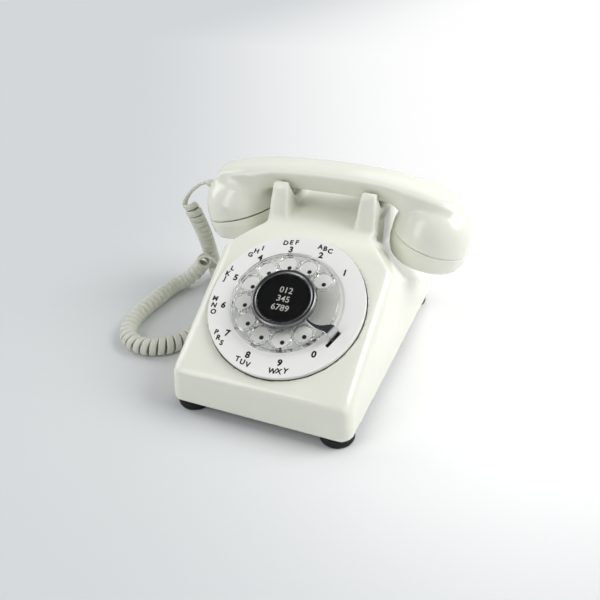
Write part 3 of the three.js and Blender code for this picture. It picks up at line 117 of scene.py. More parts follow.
# Each digit's letters, their spacing in degrees and the radius in mm of the circle they stand on.
LETTERS = (
    ("", 0, 0), ("ABC", 4.7, 51.4), ("DEF", 4.7, 51.4), ("GHI", 5.8, 52), ("JKL", 5.7, 52.4),
    ("MNO", 5.9, 52.4), ("PRS", 5.3, 52), ("TUV", 4.9, 51.4), ("WXY", 5.0, 51.4), ("", 0, 0),
)
# The card's lines and their heights in mm.
CARD_LINES = (("012", 6.4), ("345", -0.6), ("6789", -7.6))
CARD_TYPE = 6.6 * MM
# How much bolder than the plain typeface the digits, the letters and the card's digits are.
DIGIT_BOLD, LETTER_BOLD, CARD_BOLD = 0.0003, 0.00023, 0.00006

# ---- housing
SKIRT_ROUNDING = 8 * MM
SKIRT_FOOT = 0.02

# ---- handset
HANDSET_X = 1.5 * MM
CRADLE_Y = 50 * MM
HEAD_X = 79 * MM
SEAM_Z = 89.6 * MM
HEAD_TILT = 11
SEAM_TILT = 5
HEAD_RADIUS = 31 * MM
HEAD_HEIGHT = 33 * MM
HEAD_ROUNDNESS = 2.4
HEAD_SINK = {LEFT: 0.4 * MM, RIGHT: 1.5 * MM}
HEAD_WALL = 3 * MM
CAP_GAP = {LEFT: 0.8 * MM, RIGHT: 0.1 * MM}
CAP_SOUND_RADIUS = 20 * MM
HANDLE_UNDERSIDE = 116.1 * MM
HANDLE_CREASE = 132.3 * MM
HANDLE_CROWN = 3.69 * MM
CROWN_POWER = 2.4
HANDLE_TOP_HALF = 17.9 * MM
HANDLE_BOTTOM_HALF = 11.7 * MM
HANDLE_HALF_LENGTH = 94.5 * MM
HANDLE_DROP = {LEFT: 10.2 * MM, RIGHT: 14 * MM}
HANDLE_DROP_POWER = 2.6
HANDLE_STEPS = 126
HANDLE_GRAIN = 0.95 * MM
ARCH_START = 46.5 * MM
ARCH_RADIUS = 13 * MM
ARCH_SPREAD = 0.45
END_SPREAD = {LEFT: 15 * MM, RIGHT: 9 * MM}
END_NARROWING = 0.14
VALLEY_REACH = 8 * MM
VALLEY_ROUNDS = 26
# The grip's ends: how far above the seam and along the grip they begin, and how often they
# are smoothed.
END_LIFT = 12 * MM
END_START = {LEFT: -82 * MM, RIGHT: 86 * MM}
END_ROUNDS = {LEFT: 16, RIGHT: 2}

# ---- handset cord's middle line
LEAD_HANDSET = (
    (-0.1108, 0.0500, 0.1060), (-0.1152, 0.0500, 0.1056), (-0.1217, 0.0500, 0.1018),
    (-0.1293, 0.0500, 0.0952), (-0.1356, 0.0500, 0.0874), (-0.1380, 0.0497, 0.0830),
    (-0.1369, 0.0495, 0.0800),
)
COIL_UPPER = (
    (-0.1318, 0.0495, 0.0824), (-0.1276, 0.0500, 0.0768), (-0.1252, 0.0520, 0.0676),
    (-0.1237, 0.0560, 0.0560), (-0.1237, 0.0605, 0.0446), (-0.1244, 0.0655, 0.0322),
    (-0.1252, 0.0705, 0.0196), (-0.1238, 0.0716, 0.0110), (-0.1192, 0.0666, 0.0074),
    (-0.1142, 0.0590, 0.0072), (-0.1098, 0.0520, 0.0072),
)
LINK = (
    (-0.1092, 0.0512, 0.0124), (-0.1076, 0.0496, 0.0146), (-0.1049, 0.0482, 0.0190),
    (-0.1032, 0.0466, 0.0250), (-0.1044, 0.0448, 0.0314), (-0.1084, 0.0438, 0.0364),
    (-0.1120, 0.0436, 0.0388),
)
COIL_LOWER = (
    (-0.1174, 0.0423, 0.0342), (-0.1206, 0.0474, 0.0308), (-0.1248, 0.0509, 0.0256),
    (-0.1300, 0.0498, 0.0184), (-0.1362, 0.0456, 0.0120), (-0.1414, 0.0404, 0.0084),
    (-0.1456, 0.0327, 0.0072), (-0.1478, 0.0236, 0.0072), (-0.1493, 0.0033, 0.0072),
    (-0.1500, -0.0151, 0.0072), (-0.1484, -0.0328, 0.0072), (-0.1422, -0.0478, 0.0072),
    (-0.1315, -0.0568, 0.0072), (-0.1205, -0.0590, 0.0072), (-0.1114, -0.0568, 0.0072),
    (-0.1036, -0.0520, 0.0072), (-0.0977, -0.0447, 0.0072), (-0.0937, -0.0358, 0.0072),
    (-0.0916, -0.0284, 0.0072),
)
LEAD_HOUSING = (
    (-0.0912, -0.0273, 0.0075), (-0.0902, -0.0236, 0.0086), (-0.0874, -0.0182, 0.0120),
    (-0.0840, -0.0144, 0.0150), (-0.0804, -0.0126, 0.0161), (-0.0772, -0.0124, 0.0162),
)
ROUTE_STEP = 0.0004
POINTS_PER_TURN = 18
STRAND_SIDES = 12
STRAND_SQUARENESS = 0.62
LEAD_SHARE = 0.62

# ---- stage
# The backdrop's floor, measured from the telephone, and the bend that takes it up into the wall.
FLOOR_HALF_WIDTH, FLOOR_FRONT, FLOOR_BACK, BEND_RADIUS, WALL_HEIGHT = 9, -6, 3.2, 0.6, 2
WORLD_STRENGTH = 0.22
LAMP_AIM = Vector((0, 0, 0.05))
# Each lamp's name, place, width, height and power.
LAMPS = (
    ("key_softbox", (0.85, 0.2, 0.8), 0.8, 0.8, 10.8),
    ("back_softbox", (0.1, 0.95, 1.1), 0.8, 0.8, 1.8),
    ("overhead_softbox", (0.3, 0.4, 1.3), 0.8, 0.8, 1.2),
    ("front_window", (-0.6, -0.85, 0.65), 0.45, 1.3, 4.8),
    ("side_window", (-1.05, 0.0, 0.6), 0.4, 1.0, 3.6),
)
# The camera: where it stands, its directions right, up and back, and its lens in mm.
EYE = (0.14273, -0.38997, 0.30171)
EYE_AXES = (
    (0.93367, 0.35807, -0.00700), (-0.18421, 0.49692, 0.84802), (0.30713, -0.79048, 0.52992),
)
LENS, SENSOR = 37.4, 36


def linear(colour):
    """An sRGB hex colour as linear red, green, blue and alpha."""
    parts = [int(colour[i : i + 2], 16) / 255 for i in (1, 3, 5)]
    return (*[c / 12.92 if c <= 0.04045 else ((c + 0.055) / 1.055) ** 2.4 for c in parts], 1.0)


# ---- what a user may change
class TelephoneSizes(bpy.types.PropertyGroup):
    """Sizes of the details that the looks add."""

    strand_width: bpy.props.FloatProperty(
        name="Strand width", description="Width of the flat cord", default=0.0054, unit="LENGTH"
    )
    strand_thickness: bpy.props.FloatProperty(
        name="Strand thickness", description="Thickness of the flat cord", default=0.0028,
        unit="LENGTH",
    )
    coil_radius: bpy.props.FloatProperty(
        name="Coil radius", description="From a coil's middle to the middle of its strand",
        default=0.0057, unit="LENGTH",
    )
    upper_turns: bpy.props.IntProperty(
        name="Upper turns", description="Turns in the coil that hangs", default=19
    )
    lower_turns: bpy.props.IntProperty(
        name="Lower turns", description="Turns in the coil that lies", default=34
    )
    digit_height: bpy.props.FloatProperty(
        name="Digit size", description="Type size of the printed digits", default=0.0066,
        unit="LENGTH",
    )
    letter_height: bpy.props.FloatProperty(
        name="Letter size", description="Type size of the printed letters", default=0.0052,
        unit="LENGTH",
    )
    collar_width: bpy.props.FloatProperty(
        name="Collar width", description="Wall of the collar round each finger hole",
        default=0.0013, unit="LENGTH",
    )
    skin_grain: bpy.props.FloatProperty(
        name="Skin grain", description="Size of the faces of the housing's skin",
        default=0.0013, unit="LENGTH",
    )


class TelephoneColours(bpy.types.PropertyGroup):
    """Colours of the main finishes."""

    ivory: bpy.props.FloatVectorProperty(
        name="Ivory", description="Housing and handset", default=linear("#EEEFE3"), size=4,
        subtype="COLOR",
    )
    plate: bpy.props.FloatVectorProperty(
        name="Number plate", description="Plate round the dial", default=linear("#F3F3F0"),
        size=4, subtype="COLOR",
    )
    cord: bpy.props.FloatVectorProperty(
        name="Cord", description="Handset cord", default=linear("#D6D7CB"), size=4,
        subtype="COLOR",
    )
    ink: bpy.props.FloatVectorProperty(
        name="Ink", description="Printed digits and letters", default=linear("#050505"), size=4,
        subtype="COLOR",
    )
    card: bpy.props.FloatVectorProperty(
        name="Card", description="Card in the middle of the dial", default=linear("#020202"),
        size=4, subtype="COLOR",
    )


def sizes():
    return bpy.context.scene.telephone_sizes


# ---- materials
def add_node(tree, kind, settings=None, inputs=None):
    """Adds a shader node. A setting is one of its properties; an input is a value, or a pair of
    node and output, where an output is its name or its number."""
    node = tree.nodes.new("ShaderNode" + kind)
    for name, value in (settings or {}).items():
        setattr(node, name, value)
    for name, value in (inputs or {}).items():
        if isinstance(value, tuple) and isinstance(value[0], bpy.types.Node):
            tree.links.new(value[0].outputs[value[1]], node.inputs[name])
        else:
            node.inputs[name].default_value = value
    return node


def new_material(name):
    """A material without nodes but for one that gives Object coordinates."""
    material = bpy.data.materials.new(name)
    material.use_nodes = True
    tree = material.node_tree
    tree.nodes.clear()
    return material, tree, add_node(tree, "TexCoord")


def scaled(colour, share):
    return (*[min(1.0, c * share) for c in colour[:3]], 1.0)


def finish(name, colour, roughness, *, metallic=0.0, ior=1.5, patch=30, depth=0.03, grain=1.0,
           bump=0.05, spread=0.05, squeeze=(1, 1, 1)):
    """A plain finish with the three things that every made surface shows.

    patch is the size in mm of slow colour changes and depth their strength. grain is the size
    in mm of the surface's fine relief and bump its height in hundredths of a mm. spread is how
    far the roughness wanders. squeeze stretches the fine relief, as brushing and turning do.
    """
    material, tree, place = new_material(name)
    slow = add_node(tree, "TexNoise", inputs={
        "Vector": (place, "Object"), "Scale": 1000 / patch, "Detail": 3.0,
    })
    tint = add_node(tree, "Mix", {"data_type": "RGBA"}, {
        "Factor": (slow, "Fac"), 6: scaled(colour, 1 - depth), 7: scaled(colour, 1 + depth),
    })
    stretch = add_node(tree, "Mapping", inputs={
        "Vector": (place, "Object"), "Scale": squeeze,
    })
    fine = add_node(tree, "TexNoise", inputs={
        "Vector": (stretch, "Vector"), "Scale": 1000 / grain, "Detail": 2.0,
    })
    rough = add_node(tree, "MapRange", inputs={
        "Value": (slow, "Fac"), "From Min": 0.3, "From Max": 0.7,
        "To Min": max(0.02, roughness - spread), "To Max": roughness + spread,
    })
    relief = add_node(tree, "Bump", inputs={
        "Height": (fine, "Fac"), "Distance": bump * 0.01 * MM, "Strength": 1.0,
    })
    shader = add_node(tree, "BsdfPrincipled", inputs={
        "Base Color": (tint, 2), "Roughness": (rough, "Result"), "Normal": (relief, "Normal"),
        "Metallic": metallic, "IOR": ior,
    })
    add_node(tree, "OutputMaterial", inputs={"Surface": (shader, "BSDF")})
    return material


def clear_acrylic():
    """Glass to the eye, while lamps shine on through it to what lies below."""
    material, tree, place = new_material("clear_acrylic")
    slow = add_node(tree, "TexNoise", inputs={
        "Vector": (place, "Object"), "Scale": 1000 / 12, "Detail": 2.0,
    })
    rough = add_node(tree, "MapRange", inputs={
        "Value": (slow, "Fac"), "To Min": 0.02, "To Max": 0.04,
    })
    glass = add_node(tree, "BsdfPrincipled", inputs={
        "Base Color": linear("#E2E3E1"), "Transmission Weight": 1.0, "IOR": 1.49,
        "Roughness": (rough, "Result"),
    })
    through = add_node(tree, "BsdfTransparent", inputs={"Color": linear("#F2F2F1")})
    path = add_node(tree, "LightPath")
    either = add_node(tree, "Math", {"operation": "MAXIMUM"}, {
        0: (path, "Is Shadow Ray"), 1: (path, "Is Diffuse Ray"),
    })
    mix = add_node(tree, "MixShader", inputs={
        "Fac": (either, "Value"), 1: (glass, "BSDF"), 2: (through, "BSDF"),
    })
    add_node(tree, "OutputMaterial", inputs={"Surface": (mix, "Shader")})
    return material


MATERIALS = {}


def make_materials():
    """One material for each finish of the real telephone."""
    tints = bpy.context.scene.telephone_colours
    MATERIALS.update(
        # ABS, injection moulded against polished steel: glossy, with a faint ripple.
        ivory=finish("moulded_abs_ivory", tints.ivory, 0.13, ior=1.53, patch=45, depth=0.012,
                     grain=2.2, bump=0.35),
        # ABS sheet, screen printed: whiter and more satin than the housing.
        plate=finish("printed_abs_plate", tints.plate, 0.3, patch=25, depth=0.008, grain=0.8,
                     bump=0.2, spread=0.02),
        # Printing ink: a thin matt black film.
        ink=finish("printing_ink", tints.ink, 0.5, patch=4, depth=0.15, grain=0.4, bump=0.3),
        # Soft PVC over tinsel wire, extruded: greyish ivory, satin, with a fine drawn grain.
        cord=finish("extruded_pvc_cord", tints.cord, 0.42, patch=10, depth=0.035, grain=0.7,
                    bump=1.0, spread=0.08),
        # Rubber, compression moulded: matt black with a dusty bloom.
        rubber=finish("moulded_rubber_black", linear("#060606"), 0.66, ior=1.42, patch=6,
                      depth=0.3, grain=0.6, bump=2.0, spread=0.1),
        # Chromium plate on bent steel: a bright mirror with faint polishing haze.
        chrome=finish("chromium_plate", linear("#C9CACB"), 0.16, metallic=1.0, patch=8,
                      depth=0.05, grain=0.5, bump=0.1, spread=0.04),
        # Satin nickel on the turned bezel: darker and softer than chrome.
        bezel=finish("satin_nickel_bezel", linear("#7C7D7E"), 0.26, metallic=1.0, patch=8,
                     depth=0.06, grain=0.5, bump=0.3),
        # Card stock with a dull black print.
        card=finish("printed_card_black", tints.card, 0.6, ior=1.25, patch=5, depth=0.1,
                    grain=0.3, bump=0.8),
        # Printed digits on the card: dull white ink.
        card_ink=finish("white_ink", linear("#E9E9E6"), 0.55, patch=3, depth=0.04, grain=0.3,
                        bump=0.4),
        # Acrylic, injection moulded and polished: clear, with bright edges.
        clear=clear_acrylic(),
        # Acetal of the cradle buttons and the jack: milky white.
        milky=finish("natural_acetal", linear("#DAD9D0"), 0.35, ior=1.48, patch=6, depth=0.02,
                     grain=0.8),
        # Zinc plate on pressed steel: grey, with a soft drawn grain.
        steel=finish("zinc_plated_steel", linear("#A2A5A8"), 0.38, metallic=1.0, patch=9,
                     depth=0.1, grain=0.5, bump=0.8, squeeze=(1, 8, 1)),
        # Brass of the gears and gongs: machined, slightly tarnished.
        brass=finish("machined_brass", linear("#B99A58"), 0.3, metallic=1.0, patch=6,
                     depth=0.14, grain=0.4, bump=0.6),
        # Phenolic of the network block: dull grey, moulded.
        grey=finish("moulded_phenolic_grey", linear("#76797A"), 0.55, patch=7, depth=0.08,
                    grain=0.6, bump=1.5),
        # Enamelled copper wire, wound in layers: reddish brown, with fine lines.
        winding=finish("enamelled_copper_winding", linear("#8C4A28"), 0.35, metallic=0.3,
                       patch=5, depth=0.2, grain=0.4, bump=4, squeeze=(9, 1, 1)),
        # Phenolic, moulded black: satin.
        black=finish("moulded_phenolic_black", linear("#141415"), 0.4, patch=6, depth=0.2,
                     grain=0.5, bump=1),
    )


# ---- making pieces
def object_of(bm, name, material=None, smooth_below=35):
    """A bmesh as an object at the origin, smooth except at edges sharper than an angle."""
    mesh = bpy.data.meshes.new(name)
    bm.to_mesh(mesh)
    bm.free()
    mesh.shade_smooth()
    mesh.set_sharp_from_angle(angle=math.radians(smooth_below))
    obj = bpy.data.objects.new(name, mesh)
    bpy.context.scene.collection.objects.link(obj)
    if material:
        mesh.materials.append(MATERIALS[material])
    return obj


def place_piece(obj, body, slot, *nodes):
    """The piece rides on a body and stands for CAD nodes, which it hides. Its slot is not used."""
    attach(obj, body)
    if nodes:
        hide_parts(*nodes)


def dress(node, material):
    """Gives a CAD node that stays a better material."""
    obj = frame["nodes"][node]
    if not obj.material_slots:
        obj.data.materials.append(MATERIALS[material])
    for slot in obj.material_slots:
        slot.material = MATERIALS[material]


def round_edges(obj, width, segments, angle=35, limit="ANGLE"):
    """Rounds the edges that are sharp, or that have a weight, and keeps flat faces flat."""
    bevel = obj.modifiers.new("rounded_edges", "BEVEL")
    bevel.limit_method = limit
    bevel.angle_limit = math.radians(angle)
    bevel.width = width
    bevel.segments = segments
    bevel.use_clamp_overlap = False
    weighted = obj.modifiers.new("flat_faces", "WEIGHTED_NORMAL")
    weighted.keep_sharp = True


def in_order(bm):
    """Puts faces and edges, which a spin leaves in any order, into the same one on each run."""
    bm.faces.sort(key=lambda face: face.calc_center_median().dot(SORTING_LINE))
    bm.edges.sort(key=lambda edge: (edge.verts[0].co + edge.verts[1].co).dot(SORTING_LINE))
    return bm


def turned(outline, steps=96, closed=False):
    """A turned shape about Z, from its outline of radius and height."""
    bm = bmesh.new()
    verts = [bm.verts.new((radius, 0, height)) for radius, height in outline]
    edges = [bm.edges.new(pair) for pair in zip(verts, verts[1:])]
    if closed:
        edges.append(bm.edges.new((verts[-1], verts[0])))
    bmesh.ops.spin(
        bm, geom=verts + edges, cent=(0, 0, 0), axis=(0, 0, 1), dvec=(0, 0, 0),
        angle=FULL_TURN, steps=steps, use_merge=True, use_duplicate=False,
    )
    bmesh.ops.remove_doubles(bm, verts=bm.verts, dist=1e-6)
    bmesh.ops.recalc_face_normals(bm, faces=bm.faces)
    return in_order(bm)


def moved(bm, matrix):
    bmesh.ops.transform(bm, matrix=matrix, verts=bm.verts)
    return bm


def softened(bm, rounds, verts):
    for _ in range(rounds):
        bmesh.ops.smooth_vert(
            bm, verts=verts, factor=0.5, use_axis_x=True, use_axis_y=True, use_axis_z=True
        )


def ends_closed(bm, rings):
    """Closes the first and the last ring of a tube."""
    bm.faces.new(rings[0])
    bm.faces.new(rings[-1])
    bmesh.ops.recalc_face_normals(bm, faces=bm.faces)


def polar(radius, degrees, height=0.0):
    angle = math.radians(degrees)
    return Vector((radius * math.cos(angle), radius * math.sin(angle), height))


def at_hole(i, height=0.0):
    """A place on the circle of the finger holes."""
    return Matrix.Translation(polar(HOLE_CIRCLE, FIRST_HOLE + HOLE_PITCH * i, height))


def merged_into(target, source):
    """Adds one bmesh's faces to another."""
    mesh = bpy.data.meshes.new("loose")
    source.to_mesh(mesh)
    source.free()
    target.from_mesh(mesh)
    bpy.data.meshes.remove(mesh)


def carved(base, *steps):
    """Applies steps in order: a boolean operation with its bmesh, or "VOXEL" with a size."""
    target = object_of(base, "carving_base")
    cutters = []
    for operation, tool in steps:
        if operation == "VOXEL":
            remesh = target.modifiers.new("even_faces", "REMESH")
            remesh.mode = "VOXEL"
            remesh.voxel_size = tool
            continue
        cutters.append(object_of(tool, "carving_tool"))
        boolean = target.modifiers.new("carve", "BOOLEAN")
        boolean.operation = operation
        boolean.solver = "EXACT"
        boolean.object = cutters[-1]
    result = bmesh.new()
    result.from_object(target, bpy.context.evaluated_depsgraph_get())
    for obj in [target, *cutters]:
        mesh = obj.data
        bpy.data.objects.remove(obj)
        bpy.data.meshes.remove(mesh)
    return result


def merged_copy(node, flat=0.6):
    """A copy of a CAD node with its loose triangles joined and its flat areas made whole."""
    bm = bmesh.new()
    bm.from_mesh(frame["nodes"][node].data)
    bmesh.ops.remove_doubles(bm, verts=bm.verts, dist=1e-5)
    bmesh.ops.dissolve_limit(bm, angle_limit=math.radians(flat), verts=bm.verts, edges=bm.edges)
    return bm


# ---- cord
def curve_through(points, count):
    """Points on a smooth curve through the given ones, with a count for each stretch."""
    route = [Vector(p) for p in points]
    ends = [2 * route[0] - route[1], *route, 2 * route[-1] - route[-2]]
    fine = []
    for before, start, end, after in zip(ends, ends[1:], ends[2:], ends[3:]):
        for i in range(count):
            t = i / count
            fine.append(0.5 * (
                2 * start + (end - before) * t + (2 * before - 5 * start + 4 * end - after) * t * t
                + (3 * start - before - 3 * end + after) * t ** 3
            ))
    return [*fine, route[-1]]


def smooth_route(points, step):
    """Points on a smooth curve through the given ones, as near a fixed distance apart as its
    length allows."""
    points = curve_through(points, 24)
    travelled = [0.0]
    for a, b in zip(points, points[1:]):
        travelled.append(travelled[-1] + (b - a).length)
    count = max(2, round(travelled[-1] / step))
    spaced, k = [], 0
    for i in range(count + 1):
        wanted = travelled[-1] * i / count
        while k < len(points) - 2 and travelled[k + 1] < wanted:
            k += 1
        share = (wanted - travelled[k]) / max(1e-12, travelled[k + 1] - travelled[k])
        spaced.append(points[k].lerp(points[k + 1], min(1.0, share)))
    return spaced


def direction_at(points, i):
    return (points[min(i + 1, len(points) - 1)] - points[max(i - 1, 0)]).normalized()


def carried_frames(route):
    """Tangent and side directions along a route, turned as little as possible."""
    last = direction_at(route, 0)
    side = last.orthogonal().normalized()
    frames = []
    for i in range(len(route)):
        tangent = direction_at(route, i)
        if i:
            side = last.rotation_difference(tangent) @ side
            side = (side - tangent * side.dot(tangent)).normalized()
        frames.append((tangent, side, tangent.cross(side)))
        last = tangent
    return frames


def wound_strand(points, radius, turns, start, end):
    """Winds a left-handed strand round a route, from beside one point to beside another.

    Gives the strand's points and, for each, the direction of the coil's axis.
    """
    route = smooth_route(points, ROUTE_STEP)
    frames = carried_frames(route)

    def angle_of(point, i):
        _, side, other = frames[i]
        offset = Vector(point) - route[i]
        return math.atan2(offset.dot(other), offset.dot(side))

    first, last = angle_of(start, 0), angle_of(end, len(route) - 1)
    whole = -FULL_TURN * turns
    sweep = whole + (last - first - whole + math.pi) % FULL_TURN - math.pi
    count = round(abs(sweep) / FULL_TURN * POINTS_PER_TURN)
    strand, axes = [], []
    for i in range(count + 1):
        share = i / count
        place = share * (len(route) - 1)
        k = min(int(place), len(route) - 2)
        centre = route[k].lerp(route[k + 1], place - k)
        tangent, side, other = frames[k]
        angle = first + sweep * share
        strand.append(centre + radius * (math.cos(angle) * side + math.sin(angle) * other))
        axes.append(tangent)
    return strand, axes


def strand_rings(points, hints, widths, thickness):
    """Rings of a flat strand's rounded section, its width kept along the hints."""
    rings, last = [], None
    for i, point in enumerate(points):
        along = direction_at(points, i)
        wide = hints[i] - along * hints[i].dot(along)
        wide.normalize()
        if last is not None and wide.dot(last) < 0:
            wide = -wide
        last = wide
        thin = along.cross(wide)
        ring = []
        for k in range(STRAND_SIDES):
            angle = FULL_TURN * (k + 0.5) / STRAND_SIDES
            c, s = math.cos(angle), math.sin(angle)
            ring.append(
                point
                + wide * (widths[i] / 2 * math.copysign(abs(c) ** STRAND_SQUARENESS, c))
                + thin * (thickness / 2 * math.copysign(abs(s) ** STRAND_SQUARENESS, s))
            )
        rings.append(ring)
    return rings


def relaxed(points, places, reach=7, rounds=14):
    """Evens out a line round the given places, where one stretch runs into the next."""
    points = [p.copy() for p in points]
    for _ in range(rounds):
        for place in places:
            for i in range(max(1, place - reach), min(len(points) - 1, place + reach)):
                points[i] = points[i].lerp((points[i - 1] + points[i + 1]) / 2, 0.5)
    return points


def turning(count, first, second):
    """Directions that turn from one to another, or to its opposite if that is nearer."""
    if first.dot(second) < 0:
        second = -second
    return [first.lerp(second, (i / max(1, count - 1)) ** 2) for i in range(count)]


def build_cord():
    size = sizes()
    step = FULL_TURN * size.coil_radius / POINTS_PER_TURN
    lead, link, tail = (smooth_route(part, step) for part in (LEAD_HANDSET, LINK, LEAD_HOUSING))
    upper, upper_axes = wound_strand(
        COIL_UPPER, size.coil_radius, size.upper_turns, LEAD_HANDSET[-1], LINK[0]
    )
    lower, lower_axes = wound_strand(
        COIL_LOWER, size.coil_radius, size.lower_turns, LINK[-1], LEAD_HOUSING[0]
    )
    across = Vector((0, 1, 0))
    points, hints, joins = [], [], []
    for stretch, directions in (
        (lead[:-1], turning(len(lead) - 1, across, upper_axes[0])),
        (upper, upper_axes),
        (link[1:-1], turning(len(link) - 2, upper_axes[-1], lower_axes[0])),
        (lower, lower_axes),
        (tail[1:], turning(len(tail) - 1, lower_axes[-1], across)),
    ):
        if points:
            joins.append(len(points))
        points += stretch
        hints += directions
    points = relaxed(points, joins)
    # The lead is drawn thinner than the coil.
    widths = [
        size.strand_width * (LEAD_SHARE + (1 - LEAD_SHARE) * min(1.0, i / len(lead)) ** 4)
        for i in range(len(points))
    ]
    bm = bmesh.new()
    rings = [
        [bm.verts.new(p) for p in ring]
        for ring in strand_rings(points, hints, widths, size.strand_thickness)
    ]
    for one, two in zip(rings, rings[1:]):
        for k in range(STRAND_SIDES):
            after = (k + 1) % STRAND_SIDES
            bm.faces.new((one[k], one[after], two[after], two[k]))
    ends_closed(bm, rings)
    cord = object_of(bm, "handset_cord", "cord", 50)
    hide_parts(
        "cord_lead_handset", "cord_coil_upper", "cord_link", "cord_coil_lower",
        "cord_lead_housing",
    )
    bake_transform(cord)
    for name in ("handset_grommet", "housing_grommet"):
        dress(name, "cord")


# ---- housing
def build_housing():
    """The moulded shell: an even skin over the CAD's form, its edges and inner corners rounded
    as a mould does."""
    bm = carved(merged_copy("housing", 0.01), ("VOXEL", sizes().skin_grain))
    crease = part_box("housing")[0].y + SKIRT_ROUNDING
    softened(bm, 3, bm.verts[:])
    # The crease between the sloping face and the front skirt, and its two corners, are rounder.
    softened(bm, 12, [v for v in bm.verts if v.co.y < crease and v.co.z > SKIRT_FOOT])
    # The round opening for the dial is turned true again.
    to_dial = DIAL_MATRIX.inverted()
    from_dial = to_dial.inverted()
    bm.normal_update()
    for vert in bm.verts:
        p = to_dial @ vert.co
        radius = math.hypot(p.x, p.y)
        if abs(radius - DIAL_OPENING) < 2 * MM and abs(p.z) < 12 * MM:
            inward = -(to_dial.to_3x3() @ vert.normal).dot(Vector((p.x, p.y, 0)) / radius)
            if inward > 0.4:
                x, y = p.x * DIAL_OPENING / radius, p.y * DIAL_OPENING / radius
                vert.co = from_dial @ Vector((x, y, p.z))
    shell = object_of(bm, "housing_moulded", "ivory", 70)
    place_piece(shell, "telephone", "ivory_plastic", "housing")


# ---- handset
def side_of(x):
    return RIGHT if x > 0 else LEFT


def handle_drop(x):
    """How far the grip lies below its middle: more towards its right end than its left."""
    return HANDLE_DROP[side_of(x)] * (abs(x) / HANDLE_HALF_LENGTH) ** HANDLE_DROP_POWER


def handle_bar():
    """The grip: its section drawn along X in short steps, drooping and narrowing at its ends."""
    low, crease = HANDLE_UNDERSIDE, HANDLE_CREASE
    bottom, top = HANDLE_BOTTOM_HALF, HANDLE_TOP_HALF
    half = [
        (bottom - 3.5 * MM, low),
        (bottom - 1.4 * MM, low + 0.7 * MM),
        (bottom - 0.2 * MM, low + 2.2 * MM),
        (bottom + 0.6 * MM, low + 4.4 * MM),
        (top - 0.6 * MM, crease - 2.2 * MM),
        (top - 0.7 * MM, crease - 0.6 * MM),
        (top - 2.2 * MM, crease + 0.4 * MM),
    ]
    for share in (0.75, 0.6, 0.45, 0.3, 0.15, 0):
        half.append((top * share, crease + HANDLE_CROWN * (1 - share ** CROWN_POWER)))
    section = half + [(-y, z) for y, z in reversed(half[:-1])]
    bm = bmesh.new()
    first = bm.faces.new([bm.verts.new((-HANDLE_HALF_LENGTH, y, z)) for y, z in section])
    stride = Vector((2 * HANDLE_HALF_LENGTH / HANDLE_STEPS, 0, 0))
    last = [first]
    for _ in range(HANDLE_STEPS):
        grown = bmesh.ops.extrude_face_region(bm, geom=last)["geom"]
        verts = [v for v in grown if isinstance(v, bmesh.types.BMVert)]
        bmesh.ops.translate(bm, verts=verts, vec=stride)
        if last != [first]:
            bmesh.ops.delete(bm, geom=last, context="FACES_ONLY")
        last = [f for f in grown if isinstance(f, bmesh.types.BMFace)]
    for vert in bm.verts:
        x = vert.co.x
        depth = max(0.0, (crease - vert.co.z) / (crease - low))
        # The underside arches down into the heads, and the sides and ends spread there.
        arch = min(1.0, max(0.0, abs(x) - ARCH_START) / ARCH_RADIUS)
        end = max(0.0, abs(x) - HEAD_X) / (HANDLE_HALF_LENGTH - HEAD_X)
        vert.co.x += math.copysign(END_SPREAD[side_of(x)] * depth * end, x)
        vert.co.y *= (1 + ARCH_SPREAD * depth * arch) * (1 - END_NARROWING * end * end)
        vert.co.z -= handle_drop(x) + depth * ARCH_RADIUS * (1 - math.sqrt(1 - arch * arch))
    bmesh.ops.translate(bm, verts=bm.verts, vec=(HANDSET_X, CRADLE_Y, 0))
    bmesh.ops.recalc_face_normals(bm, faces=bm.faces)
    return bm


def head_matrix(side):
    turn = Matrix.Rotation(math.radians(side * HEAD_TILT), 4, "Y")
    place = (HANDSET_X + side * HEAD_X, CRADLE_Y, SEAM_Z - HEAD_SINK[side])
    return Matrix.Translation(place) @ turn


def seam_normal(side):
    """The direction square to a head's seam, before the head is placed."""
    slope = math.radians(side * SEAM_TILT)
    return Vector((math.sin(slope), 0, math.cos(slope)))


def head_dome(side, inset):
    """One head above its seam, or the hollow inside it where an inset is given."""
    r, h = HEAD_RADIUS - inset, HEAD_HEIGHT - inset
    low = -4 * MM - inset
    outline = [(0, low), (r, low)]
    for i in range(25):
        angle, power = i / 24 * math.pi / 2, 2 / HEAD_ROUNDNESS
        outline.append((r * abs(math.cos(angle)) ** power, h * math.sin(angle) ** power))
    outline[-1] = (0, h)
    bm = turned(outline)
    if not inset:
        cut = bmesh.ops.bisect_plane(
            bm, geom=bm.verts[:] + bm.edges[:] + bm.faces[:], plane_co=(0, 0, 0),
            plane_no=seam_normal(side), clear_inner=True,
        )
        rim = [e for e in cut["geom_cut"] if isinstance(e, bmesh.types.BMEdge)]
        bmesh.ops.contextual_create(bm, geom=rim)
        bmesh.ops.recalc_face_normals(bm, faces=bm.faces)
    return moved(bm, head_matrix(side))


def two_heads(operation, inset=0):
    return [(operation, head_dome(side, inset)) for side in (LEFT, RIGHT)]


def handset_valleys():
    """The points of the inner corners between the grip and its heads, for a nearest search."""
    bm = carved(handle_bar(), *two_heads("UNION"))
    points = [
        v.co.copy() for e in bm.edges
        if len(e.link_faces) == 2 and e.calc_face_angle_signed(0) < -0.3
        for v in e.verts
    ]
    bm.free()
    tree = KDTree(len(points))
    for i, point in enumerate(points):
        tree.insert(point, i)
    tree.balance()
    return tree


